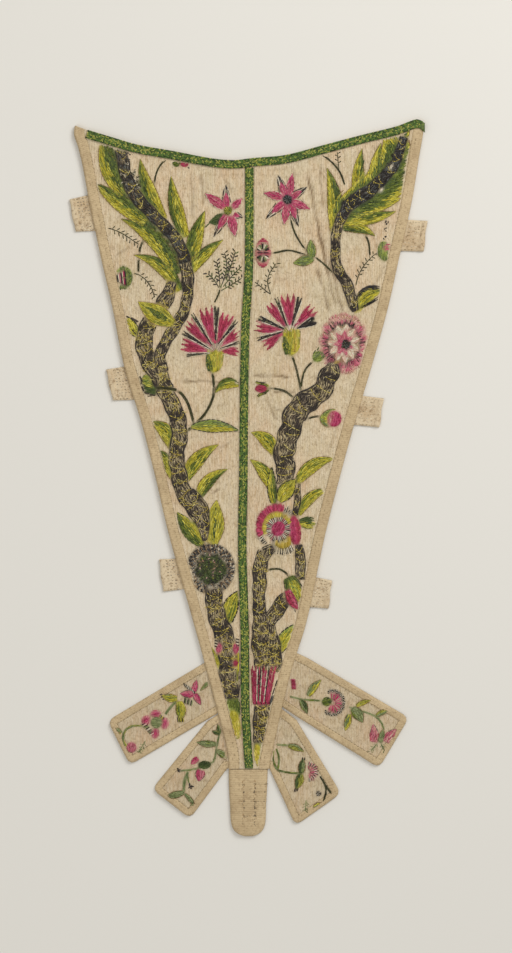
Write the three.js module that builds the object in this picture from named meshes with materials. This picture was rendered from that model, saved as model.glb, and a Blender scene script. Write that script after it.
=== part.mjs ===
import * as THREE from "three";

// A tabbed stomacher laid flat, face up. Millimetres; X to the right, Y towards the neckline, Z up.
// Every piece that is cut and sewn on is a mesh of its own.

// ---------------------------------------------------------------- sizes
const SEAM = 0.3; // clear space between two pieces that are sewn together
const WALL = 2.0; // silk and its stiffening in one half of the front
const BINDING_WIDTH = 5.7;
const BINDING_HEIGHT = 2.5;
const BRAID_WIDTH = 4.7;
const BRAID_THICKNESS = 1.0;
const BRAID_FLOOR = WALL + SEAM;
const TUCK_DEPTH = 4.6; // how far a tab or a tape runs in under the binding
const TUCK_HEIGHT = 1.0; // its thickness there
const RECESS_FLOOR = TUCK_HEIGHT + SEAM; // underside of the binding over a tuck
const TAB_WALL = 1.25;
const TAB_RIBBON_WIDTH = 4.0;
const TAB_RIBBON_HEIGHT = 1.7;
const TAB_CORNER = 4.0; // outer radius of a lower tab's corners
const TAPE_FOLD = 1.6; // height of the turned outer end of a pin tab
const CENTRE_TAB_HEIGHT = 2.0;
const POINT_Y = -157.0; // where the two halves and their bindings end
const STEP = 3.5; // spacing of the points on an outer face
const BAND_FLOOR = 150; // rows above this level bend to follow the neckline

// ---------------------------------------------------------------- edge tables
// Long outer edges: a row per station, columns y, x.
const LEFT_EDGE = [
  [-160, -10.9],
  [-150, -11.0],
  [-133, -15.0],
  [-110, -21.0],
  [-81, -29.0],
  [-56, -36.0],
  [-29, -43.5],
  [3, -51.0],
  [30, -58.0],
  [61, -67.4],
  [92, -73.6],
  [120, -80.0],
  [152, -86.6],
  [170, -90.0],
  [179, -92.2],
  [186, -94.4],
  [192, -93.6],
];
const RIGHT_EDGE = [
  [-160, 10.7],
  [-150, 12.4],
  [-128, 17.2],
  [-103, 23.4],
  [-80, 30.8],
  [-53.5, 36.6],
  [-30, 41.6],
  [-1, 49.0],
  [28.5, 57.0],
  [60, 66.5],
  [92, 75.4],
  [122.5, 82.2],
  [150, 88.4],
  [172, 92.0],
  [186, 94.4],
  [194, 95.4],
];
// Middle seam: columns y, x.
const SEAM_LINE = [
  [-160, 0.5],
  [-140, -0.8],
  [-120, -1.8],
  [-80, -2.1],
  [-40, -3.3],
  [0, -2.8],
  [40, -2.4],
  [80, -1.7],
  [113, 0.2],
  [140, 0.5],
  [196, 0.5],
];
// Neckline, the outer edge of the top braid: columns x, y.
const NECKLINE = [
  [-96, 191.6],
  [-86.5, 188.0],
  [-75, 184.5],
  [-60, 180.1],
  [-40, 176.5],
  [-20, 172.7],
  [-8, 171.7],
  [2, 172.8],
  [20, 174.5],
  [40, 179.7],
  [60, 185.0],
  [80, 190.0],
  [90, 193.6],
  [93, 193.2],
  [96, 191.2],
];

// ---------------------------------------------------------------- raised embroidery
// Couched trunks: a row per section, columns x, y, half width. A blank row ends one trunk.
const TRUNKS = [
  [[-68, 176, 2.4], [-63, 159, 2.6], [-52, 143, 2.6], [-38, 127, 2.8], [-33, 113, 2.8], [-35, 90, 2.8], [-47, 70, 2.8]],
  [[-42, 103, 2.2], [-54, 86, 3.0], [-57, 72, 3.6], [-49, 57, 4.2], [-40, 38, 4.4], [-38, 20, 4.5], [-37, -3, 4.4], [-28, -17, 4.2], [-23, -34, 2.4]],
  [[-18.5, -64, 4.0], [-17, -76, 4.6], [-12, -87, 5.2], [-10, -112, 5.0], [-8, -138, 2.0]],
  [[80, 174, 2.4], [68, 157, 2.6], [51, 141, 2.8], [47, 124, 2.6], [54, 103, 2.8], [59, 89, 2.8]],
  [[47, 61, 3.0], [40, 48, 4.6], [24, 33, 5.4], [19, 15, 5.0], [20, -5, 4.2]],
  [[12, -37, 3.4], [7, -52, 4.4], [6, -70, 4.6], [8, -84, 5.0], [9, -98, 6.0]],
  [[27, -36, 2.4], [28, -54, 2.4], [19, -69, 3.2], [13, -78, 2.6], [16, -96, 2.6]],
  [[6, -123, 4.0], [6, -140, 4.0], [4, -152, 2.0]],
];
// Leaves: columns tip x, tip y, base x, base y, half width.
const LEAVES = [
  [-80, 176, -70, 155, 4.5],
  [-83, 158, -60, 142, 5.0],
  [-68, 139, -45, 120, 5.0],
  [-62, 120, -38, 104, 4.0],
  [-58, 172, -49, 146, 4.5],
  [-42, 163, -36, 135, 4.5],
  [-25, 143, -31, 122, 3.5],
  [-60, 95, -41, 84, 4.5],
  [-61, 56, -49, 46, 4.5],
  [-54, 29, -41, 16, 4.0],
  [-50, 15, -41, 1, 3.5],
  [-16, 17, -34, 4, 4.0],
  [-12, 4, -27, -9, 3.5],
  [-30, 28, -6, 25.5, 3.5],
  [-17.5, -13, -19, -35, 5.0],
  [-38, -19, -27, -36, 4.5],
  [-22, -89, -15, -104, 4.0],
  [42, 167, 45, 136, 4.0],
  [54, 160, 51, 142, 5.0],
  [66, 176, 60, 150, 5.0],
  [80, 184, 72, 160, 6.0],
  [86, 156, 62, 146, 6.0],
  [67, 131, 51, 135, 3.0],
  [2, 24, 14, 14, 4.0],
  [1, 9, 12, -5, 3.5],
  [46, 9, 27, -2, 4.0],
  [43, -6, 28, -18, 3.5],
  [26, -80, 17, -93, 3.5],
];
// Round flowers and buds: columns x, y, radius.
const FLOWERS = [
  [-18, 79, 13.0],
  [-30, 80, 9.0],
  [-11, 144, 9.0],
  [-21, -50, 12.5],
  [-69, 108, 5.0],
  [-37, 170, 4.0],
  [21, 150.5, 8.0],
  [20, 84, 13.0],
  [51.5, 73, 12.5],
  [7.5, 122, 5.0],
  [74, 123, 5.0],
  [46.5, 31.5, 5.0],
  [9, 48.5, 4.0],
  [16, -28, 11.5],
  [25.5, -60, 6.0],
  [9, -111, 9.5],
];
// Creases left by wear: columns x, y, x, y, depth.
const CREASES = [
  [32, 158, 37, 140, 0.3],
  [37, 140, 43, 116, 0.35],
  [38.5, 168, 40, 140, 0.25],
  [36, 113, 43, 92, 0.3],
  [41, 112, 46, 93, 0.25],
  [1, 55, 20, 54, 0.3],
  [12, 46.5, 26, 46.5, 0.25],
  [-38, 52, -20, 51, 0.3],
  [-26, 165, -24, 146, 0.2],
  [-15, -5, -20, -9, 0.25],
];
const TRUNK_RISE = 0.8;
const LEAF_RISE = 0.45;
const FLOWER_RISE = 0.55;
const TAB_RISE = 0.35;
const CREASE_HALF = 3.2;

// Lower tabs. Sides run from the tucked root to the end; a second point bends a side round its neighbour.
// Columns of blooms: x, y, radius of the raised work.
const LOWER_TABS = [
  {
    name: "tab_outer_left",
    sideA: [[-19.6, -97.4], [-76.2, -131.2]],
    sideB: [[-12.0, -124.7], [-64.2, -155.2]],
    blooms: [[-31, -115, 4], [-44, -118.5, 3.5], [-39, -127, 3.5], [-50, -131, 6.5], [-71, -136, 3]],
  },
  {
    name: "tab_inner_left",
    sideA: [[-11.9, -125.2], [-22.3, -131.4], [-52.2, -168.2]],
    sideB: [[-6.3, -156.7], [-11.5, -157.0], [-31.6, -184.2]],
    blooms: [[-24, -143, 3.5], [-14, -151, 3], [-26, -156, 4], [-42, -170, 3]],
  },
  {
    name: "tab_inner_right",
    sideA: [[14.4, -121.8], [25.9, -130.8], [50.0, -170.6]],
    sideB: [[6.3, -156.7], [11.3, -157.0], [25.4, -188.0]],
    blooms: [[25, -146, 3.5], [15, -151, 2.5], [33, -159, 5], [36, -176, 3.5]],
  },
  {
    name: "tab_outer_right",
    sideA: [[23.6, -92.6], [32.0, -97.4], [86.8, -129.6]],
    sideB: [[14.6, -121.0], [27.0, -129.6], [70.6, -156.8]],
    blooms: [[35, -113, 3.5], [31, -123, 3], [45, -121, 6.5], [58, -125, 3.5], [72, -133, 5]],
  },
];

// Pin tabs: columns upper outer corner, lower outer corner, upper inner, lower inner (all x, y).
const PIN_TABS = [
  { name: "pin_tab_left_1", corners: [[-96.8, 150.6], [-93.4, 133.2], [-82.6, 153.8], [-79.4, 133.8]] },
  { name: "pin_tab_left_2", corners: [[-77.0, 58.6], [-73.2, 42.0], [-62.6, 60.9], [-58.4, 42.4]] },
  { name: "pin_tab_left_3", corners: [[-48.3, -44.0], [-46.0, -61.4], [-35.6, -43.6], [-31.2, -59.6]] },
  { name: "pin_tab_right_1", corners: [[96.8, 139.0], [94.6, 122.4], [82.0, 139.8], [77.6, 123.0]] },
  { name: "pin_tab_right_2", corners: [[73.2, 43.0], [70.7, 27.4], [56.8, 45.0], [52.4, 29.2]] },
  { name: "pin_tab_right_3", corners: [[45.2, -55.5], [43.2, -70.6], [32.2, -52.8], [28.8, -69.4]] },
];
const PIN_FOLD_WIDTH = 2.4;

// Centre tab: a row per section, columns y, left x, right x.
const CENTRE_TAB = [
  [-157.3, -10.6, 10.4],
  [-163, -10.7, 10.2],
  [-170, -10.4, 9.9],
  [-177, -10.0, 9.5],
  [-184, -9.7, 9.3],
  [-188, -9.0, 8.7],
  [-191, -7.4, 7.2],
  [-192.8, -4.8, 4.6],
  [-193.7, -2.0, 2.0],
];
const CENTRE_TAB_STITCH_LINES = [-3.0, 3.5];

// ---------------------------------------------------------------- small maths
const clamp01 = (t) => Math.min(1, Math.max(0, t));
const smooth = (t) => {
  const c = clamp01(t);
  return c * c * (3 - 2 * c);
};
const lerp = (a, b, t) => a + (b - a) * t;

/** Smooth curve through the rows [key, value] of a table. */
function profile(rows) {
  const keys = rows.map((r) => r[0]);
  const values = rows.map((r) => r[1]);
  const last = rows.length - 1;
  const slopes = rows.map((_, i) => {
    const a = Math.max(0, i - 1);
    const b = Math.min(last, i + 1);
    return (values[b] - values[a]) / (keys[b] - keys[a]);
  });
  return (key) => {
    let i = 0;
    while (i < last - 1 && key > keys[i + 1]) i += 1;
    const span = keys[i + 1] - keys[i];
    const t = clamp01((key - keys[i]) / span);
    const t2 = t * t;
    const t3 = t2 * t;
    return (
      (2 * t3 - 3 * t2 + 1) * values[i] +
      (t3 - 2 * t2 + t) * span * slopes[i] +
      (3 * t2 - 2 * t3) * values[i + 1] +
      (t3 - t2) * span * slopes[i + 1]
    );
  };
}

/** Distance from a point to a segment, and how far along it the nearest point is. */
function toSegment(x, y, ax, ay, bx, by) {
  const dx = bx - ax;
  const dy = by - ay;
  const t = clamp01(((x - ax) * dx + (y - ay) * dy) / (dx * dx + dy * dy));
  return { along: t, distance: Math.hypot(x - ax - dx * t, y - ay - dy * t) };
}

const leftEdge = profile(LEFT_EDGE);
const rightEdge = profile(RIGHT_EDGE);
const seamX = profile(SEAM_LINE);
const neckline = profile(NECKLINE);

/** Horizontal measure of a width taken square to a steep edge. */
function across(edge, y, width) {
  const slope = edge(y + 0.5) - edge(y - 0.5);
  return width * Math.hypot(1, slope);
}

// ---------------------------------------------------------------- height of the outer faces
/** Rise of the couched and satin-stitched work over the silk at a point. */
function embroideryRise(x, y) {
  let rise = 0;
  for (const trunk of TRUNKS) {
    for (let i = 0; i < trunk.length - 1; i += 1) {
      const [ax, ay, ah] = trunk[i];
      const [bx, by, bh] = trunk[i + 1];
      const near = toSegment(x, y, ax, ay, bx, by);
      const half = lerp(ah, bh, near.along);
      rise = Math.max(rise, TRUNK_RISE * smooth(1.5 - near.distance / half));
    }
  }
  for (const [tx, ty, bx, by, half] of LEAVES) {
    const near = toSegment(x, y, tx, ty, bx, by);
    const belly = half * (0.55 + 0.45 * Math.sin(Math.PI * near.along));
    rise = Math.max(rise, LEAF_RISE * smooth(1.5 - near.distance / belly));
  }
  for (const [fx, fy, radius] of FLOWERS) {
    const distance = Math.hypot(x - fx, y - fy);
    rise = Math.max(rise, FLOWER_RISE * smooth(1.6 - 1.1 * (distance / radius)));
  }
  return rise;
}

/** Depth of the creases at a point. */
function creaseDepth(x, y) {
  let depth = 0;
  for (const [ax, ay, bx, by, deep] of CREASES) {
    const near = toSegment(x, y, ax, ay, bx, by);
    depth = Math.max(depth, deep * smooth(1 - near.distance / CREASE_HALF));
  }
  return depth;
}

/** Outer face of a half of the front: flat under the braids, raised where it is worked. */
function frontHeight(x, y) {
  const fromSeam = Math.abs(x - seamX(y));
  const fromNeck = neckline(x) - y;
  const free = smooth((fromSeam - 3.5) / 2) * smooth((fromNeck - 5.4) / 2);
  const wave = 0.12 * Math.sin(x * 0.16 + y * 0.05) * Math.sin(y * 0.11 - x * 0.04);
  return WALL + free * (embroideryRise(x, y) - creaseDepth(x, y) + wave);
}

/** How far a point lies outside the long edges of the front; negative under the binding. */
function outsideFront(x, y) {
  if (y < POINT_Y) return Math.max(Math.abs(x) - 11, POINT_Y - y);
  return x < 0 ? leftEdge(y) - x : x - rightEdge(y);
}

// ---------------------------------------------------------------- bodies
/** A closed body from points and triangles, turned to face out. */
function body(points, triangles) {
  let volume = 0;
  for (const [a, b, c] of triangles) {
    const [p, q, r] = [points[a], points[b], points[c]];
    volume += p[0] * (q[1] * r[2] - q[2] * r[1]);
    volume -= p[1] * (q[0] * r[2] - q[2] * r[0]);
    volume += p[2] * (q[0] * r[1] - q[1] * r[0]);
  }
  const facing = volume > 0 ? triangles : triangles.map(([a, b, c]) => [a, c, b]);
  const geometry = new THREE.BufferGeometry();
  geometry.setAttribute("position", new THREE.Float32BufferAttribute(points.flat(), 3));
  geometry.setIndex(facing.flat());
  geometry.computeVertexNormals();
  return geometry;
}

/** Triangles between two runs of points that may differ in count. */
function stripBetween(upper, lower, points, triangles) {
  const run = (list, i) => {
    const a = points[list[0]];
    const b = points[list[list.length - 1]];
    const p = points[list[i]];
    return Math.hypot(p[0] - a[0], p[1] - a[1]) / Math.hypot(b[0] - a[0], b[1] - a[1]);
  };
  let i = 0;
  let j = 0;
  while (i < upper.length - 1 || j < lower.length - 1) {
    const next = i < upper.length - 1 ? run(upper, i + 1) : 2;
    const other = j < lower.length - 1 ? run(lower, j + 1) : 2;
    if (next <= other) {
      triangles.push([upper[i], lower[j], upper[i + 1]]);
      i += 1;
    } else {
      triangles.push([upper[i], lower[j], lower[j + 1]]);
      j += 1;
    }
  }
}

/** A wall from rows of [x, y]: a shaped outer face over a plain underside. */
function wall(rows, heightAt, floorAt) {
  const points = [];
  const triangles = [];
  const ids = rows.map((row) =>
    row.map(([x, y]) => {
      points.push([x, y, heightAt(x, y)]);
      return points.length - 1;
    }),
  );
  for (let r = 0; r < ids.length - 1; r += 1) stripBetween(ids[r], ids[r + 1], points, triangles);
  const last = ids.length - 1;
  const ring = [
    ...ids[0],
    ...ids.slice(1, last).map((row) => row[row.length - 1]),
    ...[...ids[last]].reverse(),
    ...ids.slice(1, last).map((row) => row[0]).reverse(),
  ];
  const base = ring.map((id) => {
    const [x, y] = points[id];
    points.push([x, y, floorAt(x, y)]);
    return points.length - 1;
  });
  const outline = ring.map((id) => new THREE.Vector2(points[id][0], points[id][1]));
  for (const [a, b, c] of THREE.ShapeUtils.triangulateShape(outline, [])) {
    triangles.push([base[a], base[b], base[c]]);
  }
  const clockwise = THREE.ShapeUtils.isClockWise(outline);
  const count = ring.length;
  for (let k = 0; k < count; k += 1) {
    const n = (k + 1) % count;
    triangles.push([ring[k], base[k], ring[n]], [ring[n], base[k], base[n]]);
  }
  return consistent(points, triangles, clockwise);
}

/** Turns every triangle to agree with its neighbours across shared edges. */
function consistent(points, triangles) {
  const byEdge = new Map();
  const key = (a, b) => (a < b ? `${a}_${b}` : `${b}_${a}`);
  triangles.forEach((t, index) => {
    for (let e = 0; e < 3; e += 1) {
      const k = key(t[e], t[(e + 1) % 3]);
      if (!byEdge.has(k)) byEdge.set(k, []);
      byEdge.get(k).push(index);
    }
  });
  const has = (t, a, b) => [0, 1, 2].some((e) => t[e] === a && t[(e + 1) % 3] === b);
  const done = new Array(triangles.length).fill(false);
  const queue = [0];
  done[0] = true;
  while (queue.length) {
    const current = triangles[queue.pop()];
    for (let e = 0; e < 3; e += 1) {
      const a = current[e];
      const b = current[(e + 1) % 3];
      for (const index of byEdge.get(key(a, b))) {
        if (done[index]) continue;
        if (has(triangles[index], a, b)) triangles[index].reverse();
        done[index] = true;
        queue.push(index);
      }
    }
  }
  return body(points, triangles);
}

/** A bar lofted through sections that all have the same number of corners. */
function loft(sections) {
  const points = sections.flat();
  const count = sections[0].length;
  const triangles = [];
  for (let s = 0; s < sections.length - 1; s += 1) {
    for (let k = 0; k < count; k += 1) {
      const n = (k + 1) % count;
      const a = s * count;
      const b = a + count;
      triangles.push([a + k, b + k, a + n], [a + n, b + k, b + n]);
    }
  }
  const end = (sections.length - 1) * count;
  for (let k = 1; k < count - 1; k += 1) {
    triangles.push([0, k, k + 1], [end, end + k + 1, end + k]);
  }
  return consistent(points, triangles);
}

/** Section of a ribbon or braid between two points in plan: square below, eased and full above. */
function ribbonSection([ax, ay], [bx, by], floor, top, ease) {
  const at = (t, z) => [lerp(ax, bx, t), lerp(ay, by, t), z];
  const width = Math.hypot(bx - ax, by - ay);
  const e = ease / width;
  return [
    at(0, floor),
    at(0, top - ease),
    at(e, top - 0.1),
    at(0.5, top),
    at(1 - e, top - 0.1),
    at(1, top - ease),
    at(1, floor),
  ];
}

// ---------------------------------------------------------------- front halves and their bindings
/** Levels of the rows from the neckline to the point: below BAND_FLOOR plain, above it bent. */
const bandRows = 9;
const plainRows = Math.round((BAND_FLOOR - POINT_Y) / STEP);

function rowLevel(row, x) {
  if (row === 0) return neckline(x) - SEAM;
  const top = neckline(x) - 5.3;
  if (row <= bandRows) return lerp(top, BAND_FLOOR, (row - 1) / (bandRows - 1));
  return lerp(BAND_FLOOR, POINT_Y + 0.0, (row - bandRows) / plainRows);
}

/** Plan position on a row, between two edges given as functions of y. */
function onRow(row, from, to, share) {
  let y = rowLevel(row, 0);
  let x = 0;
  for (let pass = 0; pass < 6; pass += 1) {
    x = lerp(from(y), to(y), share);
    y = rowLevel(row, x);
  }
  return [x, y];
}

/** Rows of one half of the front; side is -1 for the left half and 1 for the right. */
function frontHalf(side) {
  const edge = side < 0 ? leftEdge : rightEdge;
  const outer = (y) => edge(y) - side * across(edge, y, BINDING_WIDTH + SEAM);
  const inner = (y) => seamX(y) + side * SEAM * 0.5;
  const rows = [];
  for (let row = 0; row <= bandRows + plainRows; row += 1) {
    const [ox] = onRow(row, inner, outer, 1);
    const [ix] = onRow(row, inner, outer, 0);
    const width = Math.abs(ox - ix);
    const flat = Math.min(0.5, 3.3 / width);
    const shares = [0, flat];
    const rest = Math.max(1, Math.round((width - 3.3) / STEP));
    for (let k = 1; k <= rest; k += 1) shares.push(lerp(flat, 1, k / rest));
    rows.push(shares.map((share) => onRow(row, inner, outer, share)));
  }
  return wall(rows, frontHeight, () => 0);
}

/** Levels where a piece is tucked under the binding on one side, widened a little. */
function tucks(side) {
  const spans = [];
  for (const { corners } of PIN_TABS) {
    if (Math.sign(corners[0][0]) !== side) continue;
    spans.push([Math.min(corners[3][1], corners[1][1]) - 0.6, Math.max(corners[2][1], corners[0][1]) + 0.6]);
  }
  const lower = LOWER_TABS.filter((tab) => Math.sign(tab.sideA[0][0]) === side);
  const highest = Math.max(...lower.map((tab) => tab.sideA[0][1]));
  spans.push([POINT_Y - 1, highest + 0.8]);
  return spans;
}

function bindingSide(side) {
  const edge = side < 0 ? leftEdge : rightEdge;
  const spans = tucks(side);
  const levels = [];
  for (let y = POINT_Y; y < BAND_FLOOR; y += 6) levels.push(y);
  for (const [low, high] of spans) levels.push(low - 0.5, low, high, high + 0.5);
  const kept = levels.filter((y) => y >= POINT_Y && y < BAND_FLOOR + 6).sort((a, b) => b - a);
  const spaced = kept.filter((y, i) => {
    const special = spans.some((s) => [s[0] - 0.5, s[0], s[1], s[1] + 0.5].includes(y));
    return special || y === POINT_Y || i === 0 || !kept.some((o) => o !== y && Math.abs(o - y) < 1.2);
  });
  const floorAt = (y) => (spans.some(([low, high]) => y >= low && y <= high) ? RECESS_FLOOR : 0);
  const inner = (y) => edge(y) - side * across(edge, y, BINDING_WIDTH);
  const underBraid = (x, y) => side > 0 && neckline(x) - y < 6.2;
  const make = (a, b) => {
    const y = (a[1] + b[1]) / 2;
    const top = underBraid(a[0], a[1]) || underBraid(b[0], b[1]) ? WALL : BINDING_HEIGHT;
    return ribbonSection(a, b, floorAt(y), top, 0.4);
  };
  const sections = [];
  const bend = [0.35, 5.4, 7.4];
  for (let y = 12.4; ; y += 5) {
    const low = neckline(edge(150)) - y;
    if (low < Math.max(spaced[0] + 3, 158)) break;
    bend.push(y);
  }
  for (const down of bend) {
    const level = (x) => neckline(x) - down;
    const place = (curve) => {
      let y = 180;
      for (let pass = 0; pass < 6; pass += 1) y = level(curve(y));
      return [curve(y), y];
    };
    sections.push(make(place(edge), place(inner)));
  }
  for (const y of spaced) sections.push(make([edge(y), y], [inner(y), y]));
  return loft(sections);
}

// ---------------------------------------------------------------- braids
function braidTop() {
  const start = -86.8;
  const end = 95.2;
  const stations = Math.round((end - start) / 5);
  const sections = [];
  for (let i = 0; i <= stations; i += 1) {
    const x = lerp(start, end, i / stations);
    const slope = neckline(x + 0.5) - neckline(x - 0.5);
    const drop = BRAID_WIDTH * Math.hypot(1, Math.min(0.6, Math.max(-0.6, slope)));
    const top = BRAID_FLOOR + BRAID_THICKNESS;
    sections.push(ribbonSection([x, neckline(x)], [x, neckline(x) - drop], BRAID_FLOOR, top, 0.35));
  }
  return loft(sections);
}

function braidCentre() {
  const start = neckline(0.5) - BRAID_WIDTH - SEAM - 0.2;
  const end = POINT_Y + 0.3;
  const stations = Math.round((start - end) / 6);
  const sections = [];
  for (let i = 0; i <= stations; i += 1) {
    const y = lerp(start, end, i / stations);
    const half = across(seamX, y, BRAID_WIDTH / 2);
    const top = BRAID_FLOOR + BRAID_THICKNESS;
    const x = seamX(y);
    sections.push(ribbonSection([x - half, y], [x + half, y], BRAID_FLOOR, top, 0.35));
  }
  return loft(sections);
}

// ---------------------------------------------------------------- lower tabs
const direction = ([ax, ay], [bx, by]) => {
  const length = Math.hypot(bx - ax, by - ay);
  return [(bx - ax) / length, (by - ay) / length];
};

/** Where two lines, each given by a point and a direction, cross. */
function meet([px, py], [dx, dy], [qx, qy], [ex, ey]) {
  const det = dx * ey - dy * ex;
  const t = ((qx - px) * ey - (qy - py) * ex) / det;
  return [px + dx * t, py + dy * t];
}

/** Both sides of a tab, with their roots brought to the depth of the tuck. */
function sidesOf(tab) {
  const side = Math.sign(tab.sideA[0][0]);
  const edge = side < 0 ? leftEdge : rightEdge;
  const seat = ([[, y], ...rest]) => [[edge(y) - side * across(edge, y, TUCK_DEPTH), y], ...rest];
  return [seat(tab.sideA), seat(tab.sideB)];
}

/** The outline of a tab from root to root, moved in by a distance; corners stay sharp. */
function insetOutline(tab, distance) {
  const [first, second] = sidesOf(tab);
  const outline = [...first, ...[...second].reverse()];
  const turn = Math.sign(
    outline.reduce((sum, [x, y], i) => {
      const [nx, ny] = outline[(i + 1) % outline.length];
      return sum + x * ny - nx * y;
    }, 0),
  );
  const lines = outline.slice(0, -1).map((p, i) => {
    const d = direction(p, outline[i + 1]);
    const n = [-d[1] * turn, d[0] * turn];
    return { point: [p[0] + n[0] * distance, p[1] + n[1] * distance], d };
  });
  const root = direction(first[0], second[0]);
  const moved = [meet(lines[0].point, lines[0].d, first[0], root)];
  for (let i = 1; i < lines.length; i += 1) {
    moved.push(meet(lines[i - 1].point, lines[i - 1].d, lines[i].point, lines[i].d));
  }
  const tail = lines[lines.length - 1];
  moved.push(meet(tail.point, tail.d, first[0], root));
  return moved;
}

function tabHeight(tab) {
  return (x, y) => {
    const out = outsideFront(x, y);
    const free = smooth((out - 1.0) / 4);
    let rise = 0;
    for (const [bx, by, radius] of tab.blooms) {
      rise = Math.max(rise, TAB_RISE * smooth(1.5 - Math.hypot(x - bx, y - by) / radius));
    }
    return TUCK_HEIGHT + free * (TAB_WALL - TUCK_HEIGHT + rise);
  };
}

/** Point at a share of a side of two or three points; the middle point is always at BEND_SHARE. */
const BEND_SHARE = 0.2;
function alongSide(side, share) {
  if (side.length === 2) return [lerp(side[0][0], side[1][0], share), lerp(side[0][1], side[1][1], share)];
  const [a, b, t] =
    share <= BEND_SHARE
      ? [side[0], side[1], share / BEND_SHARE]
      : [side[1], side[2], (share - BEND_SHARE) / (1 - BEND_SHARE)];
  return [lerp(a[0], b[0], t), lerp(a[1], b[1], t)];
}

function tabSilk(tab) {
  const outline = insetOutline(tab, TAB_RIBBON_WIDTH + SEAM);
  const sideA = outline.slice(0, tab.sideA.length);
  const sideB = [...outline.slice(tab.sideA.length)].reverse();
  const count = 15;
  const rows = [];
  for (let r = 0; r <= count; r += 1) {
    const a = alongSide(sideA, r / count);
    const b = alongSide(sideB, r / count);
    const columns = Math.max(2, Math.round(Math.hypot(b[0] - a[0], b[1] - a[1]) / 3.4));
    const row = [];
    for (let c = 0; c <= columns; c += 1) {
      row.push([lerp(a[0], b[0], c / columns), lerp(a[1], b[1], c / columns)]);
    }
    rows.push(row);
  }
  return wall(rows, tabHeight(tab), () => 0);
}

/** The ribbon round a tab, folded over its sides and end. */
function tabRibbon(tab) {
  const outer = insetOutline(tab, 0);
  const inner = insetOutline(tab, TAB_RIBBON_WIDTH);
  const last = outer.length - 1;
  const endA = tab.sideA.length - 1;
  const sections = [];
  const push = (a, b) => {
    const out = Math.min(outsideFront(...a), outsideFront(...b));
    const top = lerp(TUCK_HEIGHT, TAB_RIBBON_HEIGHT, smooth((out - 1.0) / 3.5));
    sections.push(ribbonSection(a, b, 0, top, 0.3));
  };
  const corner = (i) => {
    const before = direction(outer[i], outer[i - 1]);
    const after = direction(outer[i], outer[i + 1]);
    const reach = TAB_CORNER;
    const start = [outer[i][0] + before[0] * reach, outer[i][1] + before[1] * reach];
    const stop = [outer[i][0] + after[0] * reach, outer[i][1] + after[1] * reach];
    for (let k = 0; k <= 4; k += 1) {
      const t = k / 4;
      const x = (1 - t) ** 2 * start[0] + 2 * t * (1 - t) * outer[i][0] + t * t * stop[0];
      const y = (1 - t) ** 2 * start[1] + 2 * t * (1 - t) * outer[i][1] + t * t * stop[1];
      const foot = inner[i];
      const shift = (t - 0.5) * 0.5;
      const toward = shift < 0 ? before : after;
      push([x, y], [foot[0] + toward[0] * Math.abs(shift), foot[1] + toward[1] * Math.abs(shift)]);
    }
  };
  for (let i = 0; i < last; i += 1) {
    const length = Math.hypot(outer[i + 1][0] - outer[i][0], outer[i + 1][1] - outer[i][1]);
    const fromCorner = i === endA || i === endA + 1;
    const toCorner = i + 1 === endA || i + 1 === endA + 1;
    const cut = (TAB_CORNER + 1.2) / length;
    const from = fromCorner ? cut : 0;
    const to = toCorner ? 1 - cut : 1;
    const steps = Math.max(1, Math.round((length * (to - from)) / 4.5));
    for (let k = 0; k <= steps; k += 1) {
      if (k === 0 && i > 0 && !fromCorner) continue;
      const t = lerp(from, to, k / steps);
      push(
        [lerp(outer[i][0], outer[i + 1][0], t), lerp(outer[i][1], outer[i + 1][1], t)],
        [lerp(inner[i][0], inner[i + 1][0], t), lerp(inner[i][1], inner[i + 1][1], t)],
      );
    }
    if (toCorner) corner(i + 1);
  }
  return loft(sections);
}

function centreTab() {
  const left = profile([...CENTRE_TAB].reverse().map(([y, l]) => [y, l]));
  const right = profile([...CENTRE_TAB].reverse().map(([y, , r]) => [y, r]));
  const top = CENTRE_TAB[0][0];
  const bottom = CENTRE_TAB[CENTRE_TAB.length - 1][0];
  const levels = [0, 0.1, 0.2, 0.3, 0.4, 0.5, 0.6, 0.7, 0.78, 0.85, 0.9, 0.94, 0.975, 1];
  const rows = levels.map((t) => {
    const y = lerp(top, bottom, t);
    const columns = Math.max(2, Math.round((right(y) - left(y)) / 3.2));
    return Array.from({ length: columns + 1 }, (_, c) => [lerp(left(y), right(y), c / columns), y]);
  });
  const height = (x, y) => {
    const rim = Math.min(x - left(y), right(y) - x, y - bottom, top - y + 2);
    const cushion = 0.35 * smooth(rim / 3);
    const seams = CENTRE_TAB_STITCH_LINES.map((sx) => smooth(1 - Math.abs(x - sx) / 1.6));
    return CENTRE_TAB_HEIGHT - 0.35 + cushion - 0.15 * Math.max(...seams);
  };
  return wall(rows, height, () => 0);
}

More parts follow.
